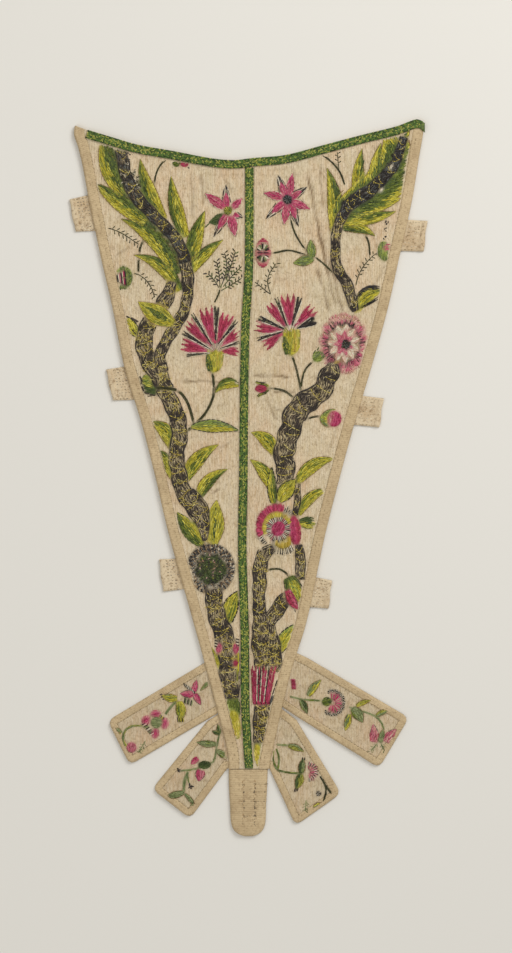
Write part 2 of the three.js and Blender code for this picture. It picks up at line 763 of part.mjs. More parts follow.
// ---------------------------------------------------------------- pin tabs
function pinTab({ corners }) {
  const [upperOut, lowerOut, upperIn, lowerIn] = corners;
  const length = Math.hypot(upperIn[0] - upperOut[0], upperIn[1] - upperOut[1]);
  const fold = PIN_FOLD_WIDTH / length;
  const shares = [0, fold * 0.5, fold, fold * 1.35, 0.45, 0.7, 1];
  const rows = shares.map((t) => {
    const a = [lerp(upperOut[0], upperIn[0], t), lerp(upperOut[1], upperIn[1], t)];
    const b = [lerp(lowerOut[0], lowerIn[0], t), lerp(lowerOut[1], lowerIn[1], t)];
    return Array.from({ length: 6 }, (_, c) => {
      const s = c / 5;
      const bow = t === 0 ? 0.35 * Math.sin(Math.PI * s * 2 + length) * Math.sin(Math.PI * s) : 0;
      return [lerp(a[0], b[0], s) + bow, lerp(a[1], b[1], s)];
    });
  });
  const mid = rows.map((row) => row.map(([x]) => x));
  const heights = new Map();
  rows.forEach((row, r) => {
    const z = r === 0 ? TAPE_FOLD - 0.35 : r <= 2 ? TAPE_FOLD : TUCK_HEIGHT;
    row.forEach(([x, y]) => heights.set(`${x}_${y}`, z));
  });
  return wall(rows, (x, y) => (mid.length ? heights.get(`${x}_${y}`) : TUCK_HEIGHT), () => 0);
}

// ---------------------------------------------------------------- assembly
const silk = new THREE.MeshStandardMaterial({ color: 0xcbb08a, roughness: 0.75 });
const ribbon = new THREE.MeshStandardMaterial({ color: 0xbda37c, roughness: 0.7 });
const braid = new THREE.MeshStandardMaterial({ color: 0x66733a, roughness: 0.8 });
const tape = new THREE.MeshStandardMaterial({ color: 0xc8ad86, roughness: 0.9 });

const group = new THREE.Group();
group.name = "stomacher";

function add(name, geometry, material) {
  const mesh = new THREE.Mesh(geometry, material.clone());
  mesh.name = name;
  group.add(mesh);
}

add("panel_left", frontHalf(-1), silk);
add("panel_right", frontHalf(1), silk);
add("binding_left", bindingSide(-1), ribbon);
add("binding_right", bindingSide(1), ribbon);
add("braid_top", braidTop(), braid);
add("braid_centre", braidCentre(), braid);
add("tab_centre", centreTab(), ribbon);
for (const tab of LOWER_TABS) {
  add(tab.name, tabSilk(tab), silk);
  add(`${tab.name}_binding`, tabRibbon(tab), ribbon);
}
for (const pin of PIN_TABS) add(pin.name, pinTab(pin), tape);

export default group;
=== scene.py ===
"""A tabbed silk stomacher laid flat: its cloth, ribbons, braid, pin tapes and embroidery, on a pale table."""

import logging
import math
import random
from dataclasses import dataclass, field
from enum import Enum
from typing import Callable, Sequence

import bpy
import numpy as np
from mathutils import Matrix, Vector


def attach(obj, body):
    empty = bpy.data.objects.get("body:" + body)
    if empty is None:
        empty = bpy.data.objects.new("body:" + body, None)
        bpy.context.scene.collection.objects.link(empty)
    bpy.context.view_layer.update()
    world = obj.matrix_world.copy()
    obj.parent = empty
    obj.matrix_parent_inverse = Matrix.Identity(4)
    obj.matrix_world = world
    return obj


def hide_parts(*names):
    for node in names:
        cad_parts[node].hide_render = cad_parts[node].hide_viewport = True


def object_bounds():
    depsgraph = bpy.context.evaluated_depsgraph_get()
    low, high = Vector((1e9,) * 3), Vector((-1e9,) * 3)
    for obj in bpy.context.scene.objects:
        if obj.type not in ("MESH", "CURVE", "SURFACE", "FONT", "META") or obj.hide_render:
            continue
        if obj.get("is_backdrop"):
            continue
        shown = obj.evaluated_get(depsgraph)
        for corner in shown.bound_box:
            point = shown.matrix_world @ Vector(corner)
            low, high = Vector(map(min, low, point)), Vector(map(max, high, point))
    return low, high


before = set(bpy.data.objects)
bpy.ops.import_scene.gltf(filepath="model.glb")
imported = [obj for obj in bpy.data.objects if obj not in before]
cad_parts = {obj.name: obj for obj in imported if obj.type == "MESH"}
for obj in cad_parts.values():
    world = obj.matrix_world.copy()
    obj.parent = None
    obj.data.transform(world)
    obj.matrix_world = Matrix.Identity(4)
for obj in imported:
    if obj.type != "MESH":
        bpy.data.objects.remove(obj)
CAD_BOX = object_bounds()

LOG = logging.getLogger("stomacher")
MM = 0.001

Array = np.ndarray
Material = bpy.types.Material
Mesh = bpy.types.Mesh
Piece = bpy.types.Object
Socket = bpy.types.NodeSocket
Row = Sequence[float]
Spot = tuple[float, float]
Rgb = tuple[float, float, float]
Surface = tuple[Array, Array, Array]
Place = Callable[[Array, Array], Surface]
Level = Callable[[Array, Array], Array]


# ------------------------------------------------------------------ small helpers
def linear(hex_colour: str) -> Rgb:
    """Turn an sRGB hex colour into linear values.

    Args:
        hex_colour: Six hex digits after a hash.

    Returns:
        Linear red, green and blue.
    """
    parts = [int(hex_colour[i : i + 2], 16) / 255 for i in (1, 3, 5)]
    red, green, blue = (p / 12.92 if p <= 0.04045 else ((p + 0.055) / 1.055) ** 2.4 for p in parts)
    return red, green, blue


def add_node(
    tree: bpy.types.NodeTree,
    kind: str,
    settings: dict[str | int, object] | None = None,
    links: dict[str | int, Socket] | None = None,
) -> bpy.types.Node:
    """Add one node, with its settings and its links.

    Args:
        tree: The tree that takes it.
        kind: The node's type.
        settings: Values by input name or number, or by the node's own property name.
        links: Sockets that feed its inputs, by input name or number.

    Returns:
        The new node.
    """
    node = tree.nodes.new(kind)
    for key, value in (settings or {}).items():
        if isinstance(key, int) or key in node.inputs:
            node.inputs[key].default_value = value
        else:
            setattr(node, key, value)
    for key, socket in (links or {}).items():
        tree.links.new(socket, node.inputs[key])
    return node


def smooth(value: Array | float) -> Array:
    """Ease values between 0 and 1."""
    cut = np.clip(value, 0.0, 1.0)
    return cut * cut * (3 - 2 * cut)


class Profile:
    """A smooth curve through the rows (key, value) of a short table."""

    def __init__(self, rows: Sequence[Row]) -> None:
        """Keep the rows and their slopes.

        Args:
            rows: Pairs in rising order of key.
        """
        table = np.array(rows, dtype=float)
        self.keys, self.values = table[:, 0], table[:, 1]
        before = np.maximum(np.arange(len(table)) - 1, 0)
        after = np.minimum(np.arange(len(table)) + 1, len(table) - 1)
        self.slopes = (self.values[after] - self.values[before]) / (self.keys[after] - self.keys[before])

    def __call__(self, key: Array | float) -> Array:
        """Read the curve.

        Args:
            key: Where to read it.

        Returns:
            The value there, flat past the ends.
        """
        key = np.clip(np.asarray(key, dtype=float), self.keys[0], self.keys[-1])
        i = np.clip(np.searchsorted(self.keys, key, side="right") - 1, 0, len(self.keys) - 2)
        span = self.keys[i + 1] - self.keys[i]
        t = (key - self.keys[i]) / span
        t2, t3 = t * t, t * t * t
        return (
            (2 * t3 - 3 * t2 + 1) * self.values[i]
            + (t3 - 2 * t2 + t) * span * self.slopes[i]
            + (3 * t2 - 2 * t3) * self.values[i + 1]
            + (t3 - t2) * span * self.slopes[i + 1]
        )


def traced_path(rows: Sequence[Row], step: float = 0.6) -> Array:
    """Run a smooth curve through points.

    Args:
        rows: Points as x, y and any further columns, which are carried along.
        step: Spacing of the result in mm.

    Returns:
        An array of the same columns, evenly spaced.
    """
    points = np.array(rows, dtype=float)
    if len(points) == 2:
        dense = points[0] + (points[1] - points[0]) * np.linspace(0, 1, 24)[:, None]
    else:
        padded = np.vstack([2 * points[0] - points[1], points, 2 * points[-1] - points[-2]])
        t = np.linspace(0, 1, 16, endpoint=False)[:, None]
        runs = []
        for a, b, c, d in zip(padded, padded[1:], padded[2:], padded[3:]):
            runs.append(
                0.5 * (
                    2 * b + (c - a) * t + (2 * a - 5 * b + 4 * c - d) * t**2 + (3 * b - a - 3 * c + d) * t**3
                )
            )
        dense = np.vstack([*runs, points[-1:]])
    gaps = np.hypot(*np.diff(dense[:, :2], axis=0).T)
    run = np.concatenate([[0.0], np.cumsum(gaps)])
    count = max(2, int(round(run[-1] / step)) + 1)
    where = np.linspace(0, run[-1], count)
    return np.stack([np.interp(where, run, dense[:, k]) for k in range(dense.shape[1])], axis=1)


def side_vectors(path: Array) -> Array:
    """Unit vectors square to a path, to its left.

    Args:
        path: Points, x and y first.

    Returns:
        One vector a point.
    """
    along = np.gradient(path[:, :2], axis=0)
    along /= np.maximum(np.hypot(along[:, 0], along[:, 1]), 1e-9)[:, None]
    return np.stack([-along[:, 1], along[:, 0]], axis=1)


class Bow:
    """A midrib that bows to one side on its way from base to tip."""

    def __init__(self, base: Row, tip: Row, bend: float) -> None:
        """Set its ends and its pull.

        Args:
            base: Where it springs from.
            tip: Where it ends.
            bend: How far it bows to the left of the way from base to tip.
        """
        self.base, self.tip = base, tip
        dx, dy = tip[0] - base[0], tip[1] - base[1]
        self.length = math.hypot(dx, dy)
        nx, ny = -dy / self.length, dx / self.length
        self.pull = ((base[0] + tip[0]) / 2 + nx * 2 * bend, (base[1] + tip[1]) / 2 + ny * 2 * bend)

    def at(self, t: float, half: float, v: float) -> Spot:
        """Point beside the midrib.

        Args:
            t: Share of the way from base to tip.
            half: Half width there in mm.
            v: Share of the half width, left positive.

        Returns:
            The point.
        """
        (bx, by), (cx, cy), (tx, ty) = self.base, self.pull, self.tip
        x = (1 - t) ** 2 * bx + 2 * t * (1 - t) * cx + t * t * tx
        y = (1 - t) ** 2 * by + 2 * t * (1 - t) * cy + t * t * ty
        dx = 2 * (1 - t) * (cx - bx) + 2 * t * (tx - cx)
        dy = 2 * (1 - t) * (cy - by) + 2 * t * (ty - cy)
        size = max(math.hypot(dx, dy), 1e-6)
        return x - dy / size * half * v, y + dx / size * half * v


class Track:
    """A traced path that is read by the distance along it."""

    def __init__(self, rows: Sequence[Row], step: float = 0.5) -> None:
        """Trace the path.

        Args:
            rows: Points as x, y and any further columns.
            step: Spacing of the traced points in mm.
        """
        self.step = step
        self.path = traced_path(rows, step)
        self.left = side_vectors(self.path)
        self.total = (len(self.path) - 1) * step

    def at(self, distance: float) -> tuple[Array, Array]:
        """Read the path.

        Args:
            distance: Distance along it.

        Returns:
            The point with its further columns, and the way to its left.
        """
        place = min(max(distance / self.step, 0.0), len(self.path) - 1.001)
        i = int(place)
        on = place - i
        return self.path[i] * (
            1 - on
        ) + self.path[i + 1] * on, self.left[i] * (1 - on) + self.left[i + 1] * on


# ------------------------------------------------------------------ the cut of the garment, in mm
@dataclass(frozen=True)
class Cut:
    """Edges and thicknesses that the pieces share, in mm. X to the right, Y towards the neckline."""

    wall: float = 2.0
    seam: float = 0.3
    binding_width: float = 5.7
    binding_height: float = 2.5
    braid_width: float = 4.7
    tuck_depth: float = 4.6
    tuck_height: float = 1.0
    tab_wall: float = 1.25
    tab_ribbon_width: float = 4.0
    tab_ribbon_height: float = 1.7
    centre_tab_height: float = 2.0
    point_y: float = -157.0
    left_edge: Profile = Profile(
        [
            (-160, -10.9), (-150, -11.0), (-133, -15.0), (-110, -21.0), (-81, -29.0), (-56, -36.0),
            (-29, -43.5), (3, -51.0), (30, -58.0), (61, -67.4), (92, -73.6), (120, -80.0), (152, -86.6),
            (170, -90.0), (179, -92.2), (186, -94.4), (192, -93.6),
        ]
    )
    right_edge: Profile = Profile(
        [
            (-160, 10.7), (-150, 12.4), (-128, 17.2), (-103, 23.4), (-80, 30.8), (-53.5, 36.6), (-30, 41.6),
            (-1, 49.0), (28.5, 57.0), (60, 66.5), (92, 75.4), (122.5, 82.2), (150, 88.4), (172, 92.0),
            (186, 94.4), (194, 95.4),
        ]
    )
    seam_line: Profile = Profile(
        [
            (-160, 0.5), (-140, -0.8), (-120, -1.8), (-80, -2.1), (-40, -3.3), (0, -2.8), (40, -2.4),
            (80, -1.7), (113, 0.2), (140, 0.5), (196, 0.5),
        ]
    )
    neckline: Profile = Profile(
        [
            (-96, 191.6), (-86.5, 188.0), (-75, 184.5), (-60, 180.1), (-40, 176.5), (-20, 172.7), (-8, 171.7),
            (2, 172.8), (20, 174.5), (40, 179.7), (60, 185.0), (80, 190.0), (90, 193.6), (93, 193.2),
            (96, 191.2),
        ]
    )

    def edge(self, side: int) -> Profile:
        """The long outer edge of one side, -1 for left and 1 for right."""
        return self.left_edge if side < 0 else self.right_edge

    def across(self, curve: Profile, y: Array, width: float) -> Array:
        """Measure a width taken square to a steep edge along X."""
        return width * np.hypot(1.0, curve(y + 0.5) - curve(y - 0.5))

    def in_silk(self, x: Array, y: Array, margin: float = 0.2) -> Array:
        """Tell where points lie on the open silk of the front, clear of braids and bindings.

        Args:
            x: Points' X.
            y: Points' Y.
            margin: How far inside they must lie.

        Returns:
            True where they do.
        """
        reach = self.binding_width + margin
        left = self.left_edge(y) + self.across(self.left_edge, y, reach)
        right = self.right_edge(y) - self.across(self.right_edge, y, reach)
        clear = np.abs(x - self.seam_line(y)) > self.braid_width / 2 + margin
        below = self.neckline(x) - y > self.braid_width + margin + 0.2
        return (x > left) & (x < right) & clear & below & (y > self.point_y + 0.5)

    def outside(self, x: Array, y: Array) -> Array:
        """How far points lie outside the long edges of the front; negative under the binding."""
        beside = np.where(x < 0, self.left_edge(y) - x, x - self.right_edge(y))
        beyond = np.maximum(np.abs(x) - 11, self.point_y - y)
        return np.where(y < self.point_y, beyond, beside)


CUT = Cut()


# ------------------------------------------------------------------ threads
class Shade(Enum):
    """Dyed silks of the embroidery, each with its lots from dark to light."""

    YELLOW_GREEN = ("#AFA22C", "#C4B83A", "#D6CB58", "#B5AA30")
    OLIVE = ("#84832F", "#959339", "#A4A046")
    LEAF_GREEN = ("#5F6C24", "#6F7B2C", "#7F8A38", "#545F20")
    DARK_GREEN = ("#39461E", "#465528", "#556432")
    PALE_GREEN = ("#7C8A3A", "#8E9A46", "#9EAA54")
    SAGE = ("#647044", "#747F4E", "#848D5C")
    BARK_DARK = ("#2A231F", "#362D27", "#433930")
    BARK = ("#5E5042", "#6F6150", "#82735C")
    BARK_LIGHT = ("#A69570", "#B6A57E", "#C4B48E")
    COUCHING = ("#C4AC42", "#D8C45E", "#E6D682")
    CRIMSON = ("#952B42", "#A93650", "#B9455F")
    MAGENTA = ("#A52E55", "#B63C62", "#C25274")
    PINK = ("#B65A68", "#C26E78", "#CC8389")
    PEACH = ("#C79383", "#D0A391", "#D5AFA0")
    BLACK = ("#1E1B1A", "#2A2625", "#353030")
    CREAM = ("#C9BA9C", "#D6C9AE", "#E0D6BF")
    SLATE = ("#4E5150", "#5F625F", "#706F69")
    STEM = ("#302F14", "#3B3A1C", "#494826")
    YELLOW = ("#AE9333", "#BDA442", "#C9B455")
    TAN = ("#9A7B55", "#A98B64")
    RUST = ("#7A5A38", "#8A6A44")
    BRAID_GREEN = ("#4A6A2C", "#5A7A35", "#69863E")
    BRAID_DARK = ("#2F431E", "#3A4E26")
    BRAID_GOLD = ("#A0A442", "#B2B252", "#C0BC62")
    SEWING = ("#A18D68", "#B19D78", "#8F7C5A")
    GREY_SEWING = ("#7E766A", "#8F867A")
    WORN_GREEN = ("#7C8455", "#8A9060", "#989C6E")
    WORN_PINK = ("#A8505E", "#B56470", "#BE7780")


Shades = Sequence[Shade]
# Gains of a thread's brightness over its lot's.
LEVELS = (0.84, 0.92, 1.0, 1.07, 1.14)
# In mm: width of a strand of floss, spacing of strands in trunks and petals, in leaves, the shortest stitch.
FLOSS = 0.62
STRAND_PITCH = 0.5
LEAF_PITCH = 0.42
SHORTEST = 0.25
RUST = (Shade.RUST,)
GOLD_THREAD = (Shade.COUCHING,)


class Stitches:
    """Stitches of one area, kept as rows until the cloth under them is known."""

    def __init__(self, name: str, seed: int, allowed: Callable[[Array, Array], Array] | None) -> None:
        """Start an empty area.

        Args:
            name: The piece's name.
            seed: Seed of its unevenness.
            allowed: Tells where a stitch may lie.
        """
        self.name = name
        self.rng = random.Random(seed)
        self.allowed = allowed
        self.rows: list[tuple[float, ...]] = []

    def colour(self, shades: Shades) -> Rgb:
        """Pick a thread of one of the shades, a little lighter or darker."""
        lot = linear(self.rng.choice(self.rng.choice(list(shades)).value))
        gain = self.rng.choice(LEVELS)
        return lot[0] * gain, lot[1] * gain, lot[2] * gain

    def lay(
        self,
        a: Row,
        b: Row,
        width: float,
        shades: Shades,
        rise: float,
        lift: float = 0.0,
        layer: float | None = None,
    ) -> None:
        """Lay one stitch.

        Args:
            a: Its start.
            b: Its end.
            width: The thread's width.
            shades: Shades to pick from.
            rise: Height of the padding under it.
            lift: How far it lies over its neighbours.
            layer: Which stitches it lies over: those of a lower layer. The rise where nothing is given.
        """
        if math.hypot(b[0] - a[0], b[1] - a[1]) < SHORTEST:
            return
        if self.allowed is not None:
            for share in (0.0, 0.5, 1.0):
                x, y = a[0] + (b[0] - a[0]) * share, a[1] + (b[1] - a[1]) * share
                if not self.allowed(np.array(x), np.array(y)):
                    return
        order = rise if layer is None else layer
        self.rows.append((a[0], a[1], b[0], b[1], width, rise, lift, *self.colour(shades), order))

    # -------------------------------------------------------------- kinds of work
    def leaf(
        self,
        base: Row,
        tip: Row,
        bend: float,
        halves: tuple[float, float],
        shades: tuple[Shades, Shades],
        full: float = 0.45,
        rise: float = 0.45,
        edge: Shades | None = RUST,
        edge_width: float = 0.4,
        crest: float = 0.42,
        run: float = 3.4,
        vein: Shades | None = None,
    ) -> None:
        """Fill a leaf or petal in long-and-short stitch, either side of its midrib.

        Args:
            base: Where it springs from.
            tip: Its tip.
            bend: How far its midrib bows to the left of the way from base to tip.
            halves: Greatest widths left and right of the midrib.
            shades: Shades of the left and of the right side.
            full: How full it is at its base, 0 to 1.
            rise: Padding height.
            edge: Shades of the outline, or none.
            edge_width: Width of the outline's thread.
            crest: Where along it is widest.
            run: Length of a stitch.
            vein: Shades of a laid midrib, or none.
        """
        bow = Bow(base, tip, bend)
        length = bow.length
        thinnest = 0.62

        def fullness(t: float) -> float:
            """Share of the greatest width at a place along the midrib."""
            if t < crest:
                return full + (1 - full) * float(smooth(t / crest * 0.5 + 0.5) * 2 - 1)
            return max(0.0, 1 - ((t - crest) / (1 - crest)) ** 1.7)

        def at(t: float, v: float) -> Spot:
            """Point at a place along the midrib and a share of the width, left positive."""
            t = min(max(t, 0.0), 1.0)
            return bow.at(t, (halves[0] if v > 0 else halves[1]) * fullness(t), v)

        for side, half, own, other in (
            (1, halves[0], shades[0], shades[1]), (-1, halves[1], shades[1], shades[0])
        ):
            columns = max(1, round(half / LEAF_PITCH))
            for column in range(columns):
                v = (column + 0.5) / columns
                t = -self.rng.uniform(0.0, run / length)
                while t < 0.985:
                    reach = self.rng.uniform(0.65, 1.2) * run / length
                    start, stop = max(t, 0.0), min(t + reach, 1.0)
                    drift = self.rng.uniform(-0.04, 0.05)
                    mixed = v < 0.35 and self.rng.random() < 0.4
                    width = FLOSS * max(thinnest, fullness((start + stop) / 2) ** 0.5)
                    ends = at(start, side * max(v - 0.03, 0.01)), at(stop, side * min(v + drift, 1.0))
                    self.lay(*ends, width, other if mixed else own, rise, self.rng.uniform(0.0, 0.12))
                    t += reach * 0.84
            if edge:
                t = 0.02
                while t < 0.97:
                    stop = min(t + 2.6 / length, 1.0)
                    ends = at(t, side * 1.03), at(stop, side * 1.03)
                    self.lay(*ends, edge_width, edge, rise * 0.5, 0.1, rise)
                    t = stop - 0.1 / length
        if vein:
            t = 0.05
            while t < 0.85:
                stop = min(t + 2.8 / length, 0.9)
                self.lay(at(t, 0.02), at(stop, 0.02), 0.6, vein, rise, 0.22)
                t = stop

    def trunk(
        self,
        rows: Sequence[Row],
        gold: float = 0.5,
        rise: float = 0.8,
        shades: tuple[Shades, Shades] = ((Shade.BARK_DARK,), (Shade.BARK, Shade.BARK_LIGHT)),
        edged: bool = True,
        curls: float = 0.0,
    ) -> None:
        """Lay waved threads along a trunk, and couch gold thread over them in bands and curls.

        Args:
            rows: Sections as x, y, half width.
            gold: How many gold bands cross it, 0 to 1.
            rise: Padding height.
            shades: Dark and light shades.
            edged: Whether dark threads outline it.
            curls: How many gold curls lie on it, 0 to 1.
        """
        track = Track(rows)
        total = track.total
        swell = self.rng.uniform(0, 6)
        columns = max(4, round(2 * float(track.path[:, 2].max()) / STRAND_PITCH))

        def at(s: float, v: float) -> Spot:
            """Point at a distance along the trunk and a share of its half width."""
            p, n = track.at(s)
            uneven = 0.09 * math.sin(s * 0.62 + swell + (1.6 if v > 0 else 0)) if edged else 0.0
            half = p[2] * (1.0 + uneven)
            return float(p[0] + n[0] * half * v), float(p[1] + n[1] * half * v)

        def wave(s: float, v: float) -> float:
            """Sideways wave of a laid thread, as a share of the half width."""
            return 0.2 * math.sin(s * 0.85 + v * 1.8 + swell) + 0.06 * math.sin(s * 2.0 + v * 7)

        for column in range(columns):
            v = -1 + 2 * (column + 0.5) / columns
            light = column % 3 == 1
            s = -self.rng.uniform(0, 2)
            while s < total:
                reach = self.rng.uniform(1.7, 2.6)
                start, stop = max(s, 0.0), min(s + reach, total)
                fade = math.sin(start * 0.35 + column * 2.1 + swell) > 0.55
                chosen = shades[1] if light != fade else shades[0]
                if self.rng.random() < 0.16:
                    chosen = shades[0] if chosen is shades[1] else shades[1]
                room = 1 - abs(v) * 0.75
                va = min(max(v + wave(start, v) * room, -0.97), 0.97)
                vb = min(max(v + wave(stop, v) * room, -0.97), 0.97)
                width = 0.5 if chosen is shades[1] else 0.72
                lift = 0.12 if chosen is shades[1] else 0.0
                self.lay(at(start, va), at(stop, vb), width, chosen, rise, lift)
                s += reach * 0.82
        if edged:
            for v in (-1.0, 1.0):
                s = 0.0
                while s < total - 0.5:
                    ends = at(s, v), at(min(s + 2.2, total), v)
                    self.lay(*ends, 0.6, (Shade.BARK_DARK, Shade.BLACK), rise * 0.6, 0.05, rise)
                    s += 1.5
        s = self.rng.uniform(1.0, 3.0)
        turn = 1
        while gold > 0 and s < total - 1:
            height = self.rng.uniform(1.0, 3.4) * turn
            low, high = (-0.96, self.rng.uniform(0.5, 0.96)) if self.rng.random() < 0.6 else (-0.3, 0.96)
            for part in range(4):
                spots = []
                for share in (part / 4, min((part + 1.15) / 4, 1)):
                    drop = 0.9 * math.sin(math.pi * share)
                    spots.append(
                        at(min(max(s + height * share + drop, 0), total), low + (high - low) * share)
                    )
                self.lay(*spots, 0.38, GOLD_THREAD, rise, 0.34)
            turn = -turn
            s += self.rng.uniform(2.6, 4.6) / max(gold, 0.1) * 0.5
        area = total * 2 * float(track.path[:, 2].mean())
        for _ in range(int(area * curls / 5.5)):
            x, y = at(self.rng.uniform(0, total), self.rng.uniform(-0.85, 0.85))
            lean = self.rng.uniform(0, 2 * math.pi)
            for _ in range(3):
                nx, ny = x + 1.0 * math.cos(lean), y + 1.0 * math.sin(lean)
                self.lay((x, y), (nx, ny), 0.33, GOLD_THREAD, rise, 0.3)
                x, y = nx - 0.1 * math.cos(lean), ny - 0.1 * math.sin(lean)
                lean += self.rng.choice((-1, 1)) * self.rng.uniform(0.5, 1.3)

    def feather(
        self,
        spine: Sequence[Row],
        sides: tuple[Sequence[Row], Sequence[Row]],
        teeth: Sequence[Row],
        bands: Sequence[tuple[float, Shades]],
        rise: float = 0.45,
    ) -> None:
        """Fill a large toothed leaf: stitches slant out from its spine, darker shades nearest to it.

        Args:
            spine: Points x, y from foot to tip.
            sides: Widths of the left and of the right side, as pairs of share and width.
            teeth: Number of teeth and their depth, left and right.
            bands: Outer limit as a share of the width, and shades, from the spine out.
            rise: Padding height.
        """
        track = Track(spine)
        total = track.total

        def at(s: float, away: float, side: int) -> Spot:
            """Point at a distance along the spine and away from it."""
            p, n = track.at(s)
            return float(p[0] + n[0] * away * side), float(p[1] + n[1] * away * side)

        for side, rows, (count, depth) in ((1, sides[0], teeth[0]), (-1, sides[1], teeth[1])):
            widths = Profile(rows)
            s = -14.0
            while s < total:
                saw = (s / total * count) % 1.0
                full = float(widths((s + 8) / total)) * (1 - depth * (1 - saw) ** 1.2)
                away = 0.0
                while away < full:
                    reach = self.rng.uniform(2.0, 3.4)
                    outer = min(away + reach * 0.62, full)
                    share = (away + outer) / 2 / max(full, 0.1) + self.rng.uniform(-0.09, 0.09)
                    shades = next((kinds for limit, kinds in bands if share < limit), bands[-1][1])
                    slide = (outer - away) * self.rng.uniform(1.1, 1.6)
                    start, stop = min(s + away * 1.2, total), min(s + away * 1.2 + slide, total)
                    if 0 <= start < total - 0.3:
                        ends = at(start, away, side), at(stop, outer, side)
                        self.lay(*ends, FLOSS, shades, rise, self.rng.uniform(0, 0.12))
                    away += reach * 0.5
                if full > 0.8:
                    start = min(s + full * 1.2, total)
                    if 0 <= start < total - 0.5:
                        ends = at(start, full, side), at(start + 1.4, full, side)
                        self.lay(*ends, 0.4, RUST, rise * 0.5, 0.08, rise)
                s += 0.46

    def stem(self, rows: Sequence[Row], width: float, shades: Shades, rise: float = 0.25) -> None:
        """Work a thin stem in stem stitch.

        Args:
            rows: Points as x, y.
            width: The stem's width.
            shades: Its shades.
            rise: Padding height.
        """
        track = Track(rows)
        path, left = track.path, track.left
        lanes = max(1, round(width / 0.6))
        for lane in range(lanes):
            offset = ((lane + 0.5) / lanes - 0.5) * width * 0.8
            k = -self.rng.randint(0, 3)
            while k < len(path) - 2:
                stop = min(k + self.rng.randint(6, 9), len(path) - 1)
                first = max(k, 0)
                a = path[first, :2] + left[first] * (offset - 0.08)
                b = path[stop, :2] + left[stop] * (offset + 0.08)
                self.lay(a, b, FLOSS, shades, rise, self.rng.uniform(0, 0.1))
                k = stop - 4 if stop < len(path) - 1 else len(path)

    def fern(
        self, rows: Sequence[Row], barb: float, pitch: float, shades: Shades, width: float = 0.7
    ) -> None:
        """Work a fern: a thin stem with barbs on both sides.

        Args:
            rows: Points as x, y, from root to tip.
            barb: Length of a barb.
            pitch: Their spacing.
            shades: Its shades.
            width: The thread's width.
        """
        self.stem(rows, 0.6, shades, 0.15)
        track = Track(rows, 0.25)
        path, left = track.path, track.left
        step = max(2, int(pitch * 1.05 / track.step))
        for count, k in enumerate(range(max(step, len(path) // 4), len(path), step)):
            side = 1 if count % 2 == 0 else -1
            ahead = np.array([left[k][1], -left[k][0]])
            way = left[k] * side * self.rng.uniform(0.75, 1.0) + ahead * self.rng.uniform(0.4, 0.8)
            end = path[k, :2] + way * barb
            self.lay(path[k, :2], end, width, shades, 0.1, 0.08)

    def fan(
        self,
        base: Row,
        tip: Row,
        halves: tuple[float, float],
        shades: Shades,
        edge: Shades | None = None,
        teeth: int = 3,
        notch: float = 0.2,
        bend: float = 0.0,
        rise: float = 0.5,
        tipped: Shades | None = None,
    ) -> None:
        """Fill a petal that spreads from a narrow foot to a toothed end.

        Args:
            base: Its foot.
            tip: The middle of its end.
            halves: Half width at the foot and at the end.
            shades: Its shades.
            edge: Shades of its two edges, or none.
            teeth: Number of teeth.
            notch: Depth of the notches as a share of its length.
            bend: How far it bows to its left.
            rise: Padding height.
            tipped: Shades of its outer fifth, or none.
        """
        bow = Bow(base, tip, bend)

        def at(t: float, v: float) -> Spot:
            """Point at a share of the length and of the half width."""
            return bow.at(t, halves[0] + (halves[1] - halves[0]) * min(t, 1.0) ** 0.85, v)

        columns = max(2, round(2 * halves[1] / STRAND_PITCH))
        for column in range(columns):
            v = -1 + 2 * (column + 0.5) / columns
            saw = abs(((v + 1) / 2 * teeth + 0.5) % 1.0 - 0.5) * 2
            end = 1.0 - notch * (1.0 - saw) - 0.03 * self.rng.random()
            late = halves[0] < 0.35 * halves[1] and column % 2 == 1
            t = 0.35 * self.rng.uniform(0.7, 1.2) if late else 0.0
            outer = edge is not None and (column == 0 or column == columns - 1)
            while t < end - 0.02:
                reach = self.rng.uniform(0.8, 1.3) * 4.0 / bow.length
                stop = min(t + reach, end)
                chosen = edge if outer and edge else shades
                if tipped and stop > 0.85 * end and not outer:
                    chosen = tipped
                self.lay(at(t, v), at(stop, v), 0.6, chosen, rise, self.rng.uniform(0.0, 0.14))
                t = stop - 0.12 * reach if stop < end else end

    def oval(
        self, centre: Row, radii: Row, turn: float, shades: Shades, rise: float = 0.4, run: float = 3.0
    ) -> None:
        """Fill an oval in satin stitch along its long way.

        Args:
            centre: Its centre.
            radii: Its half length and half width.
            turn: Angle of its long way in degrees.
            shades: Its shades.
            rise: Padding height.
            run: Length of a stitch.
        """
        ca, sa = math.cos(math.radians(turn)), math.sin(math.radians(turn))
        columns = max(2, round(2 * radii[1] / 0.46))
        for column in range(columns):
            v = -1 + 2 * (column + 0.5) / columns
            half = radii[0] * math.sqrt(max(0.0, 1 - v * v))
            u = -half
            while u < half - 0.2:
                stop = min(u + run * self.rng.uniform(0.7, 1.3), half)
                w = v * radii[1]
                ends = [(centre[0] + k * ca - w * sa, centre[1] + k * sa + w * ca) for k in (u, stop)]
                self.lay(*ends, 0.6, shades, rise, self.rng.uniform(0.0, 0.12))
                u = stop - 0.2 if stop < half else half

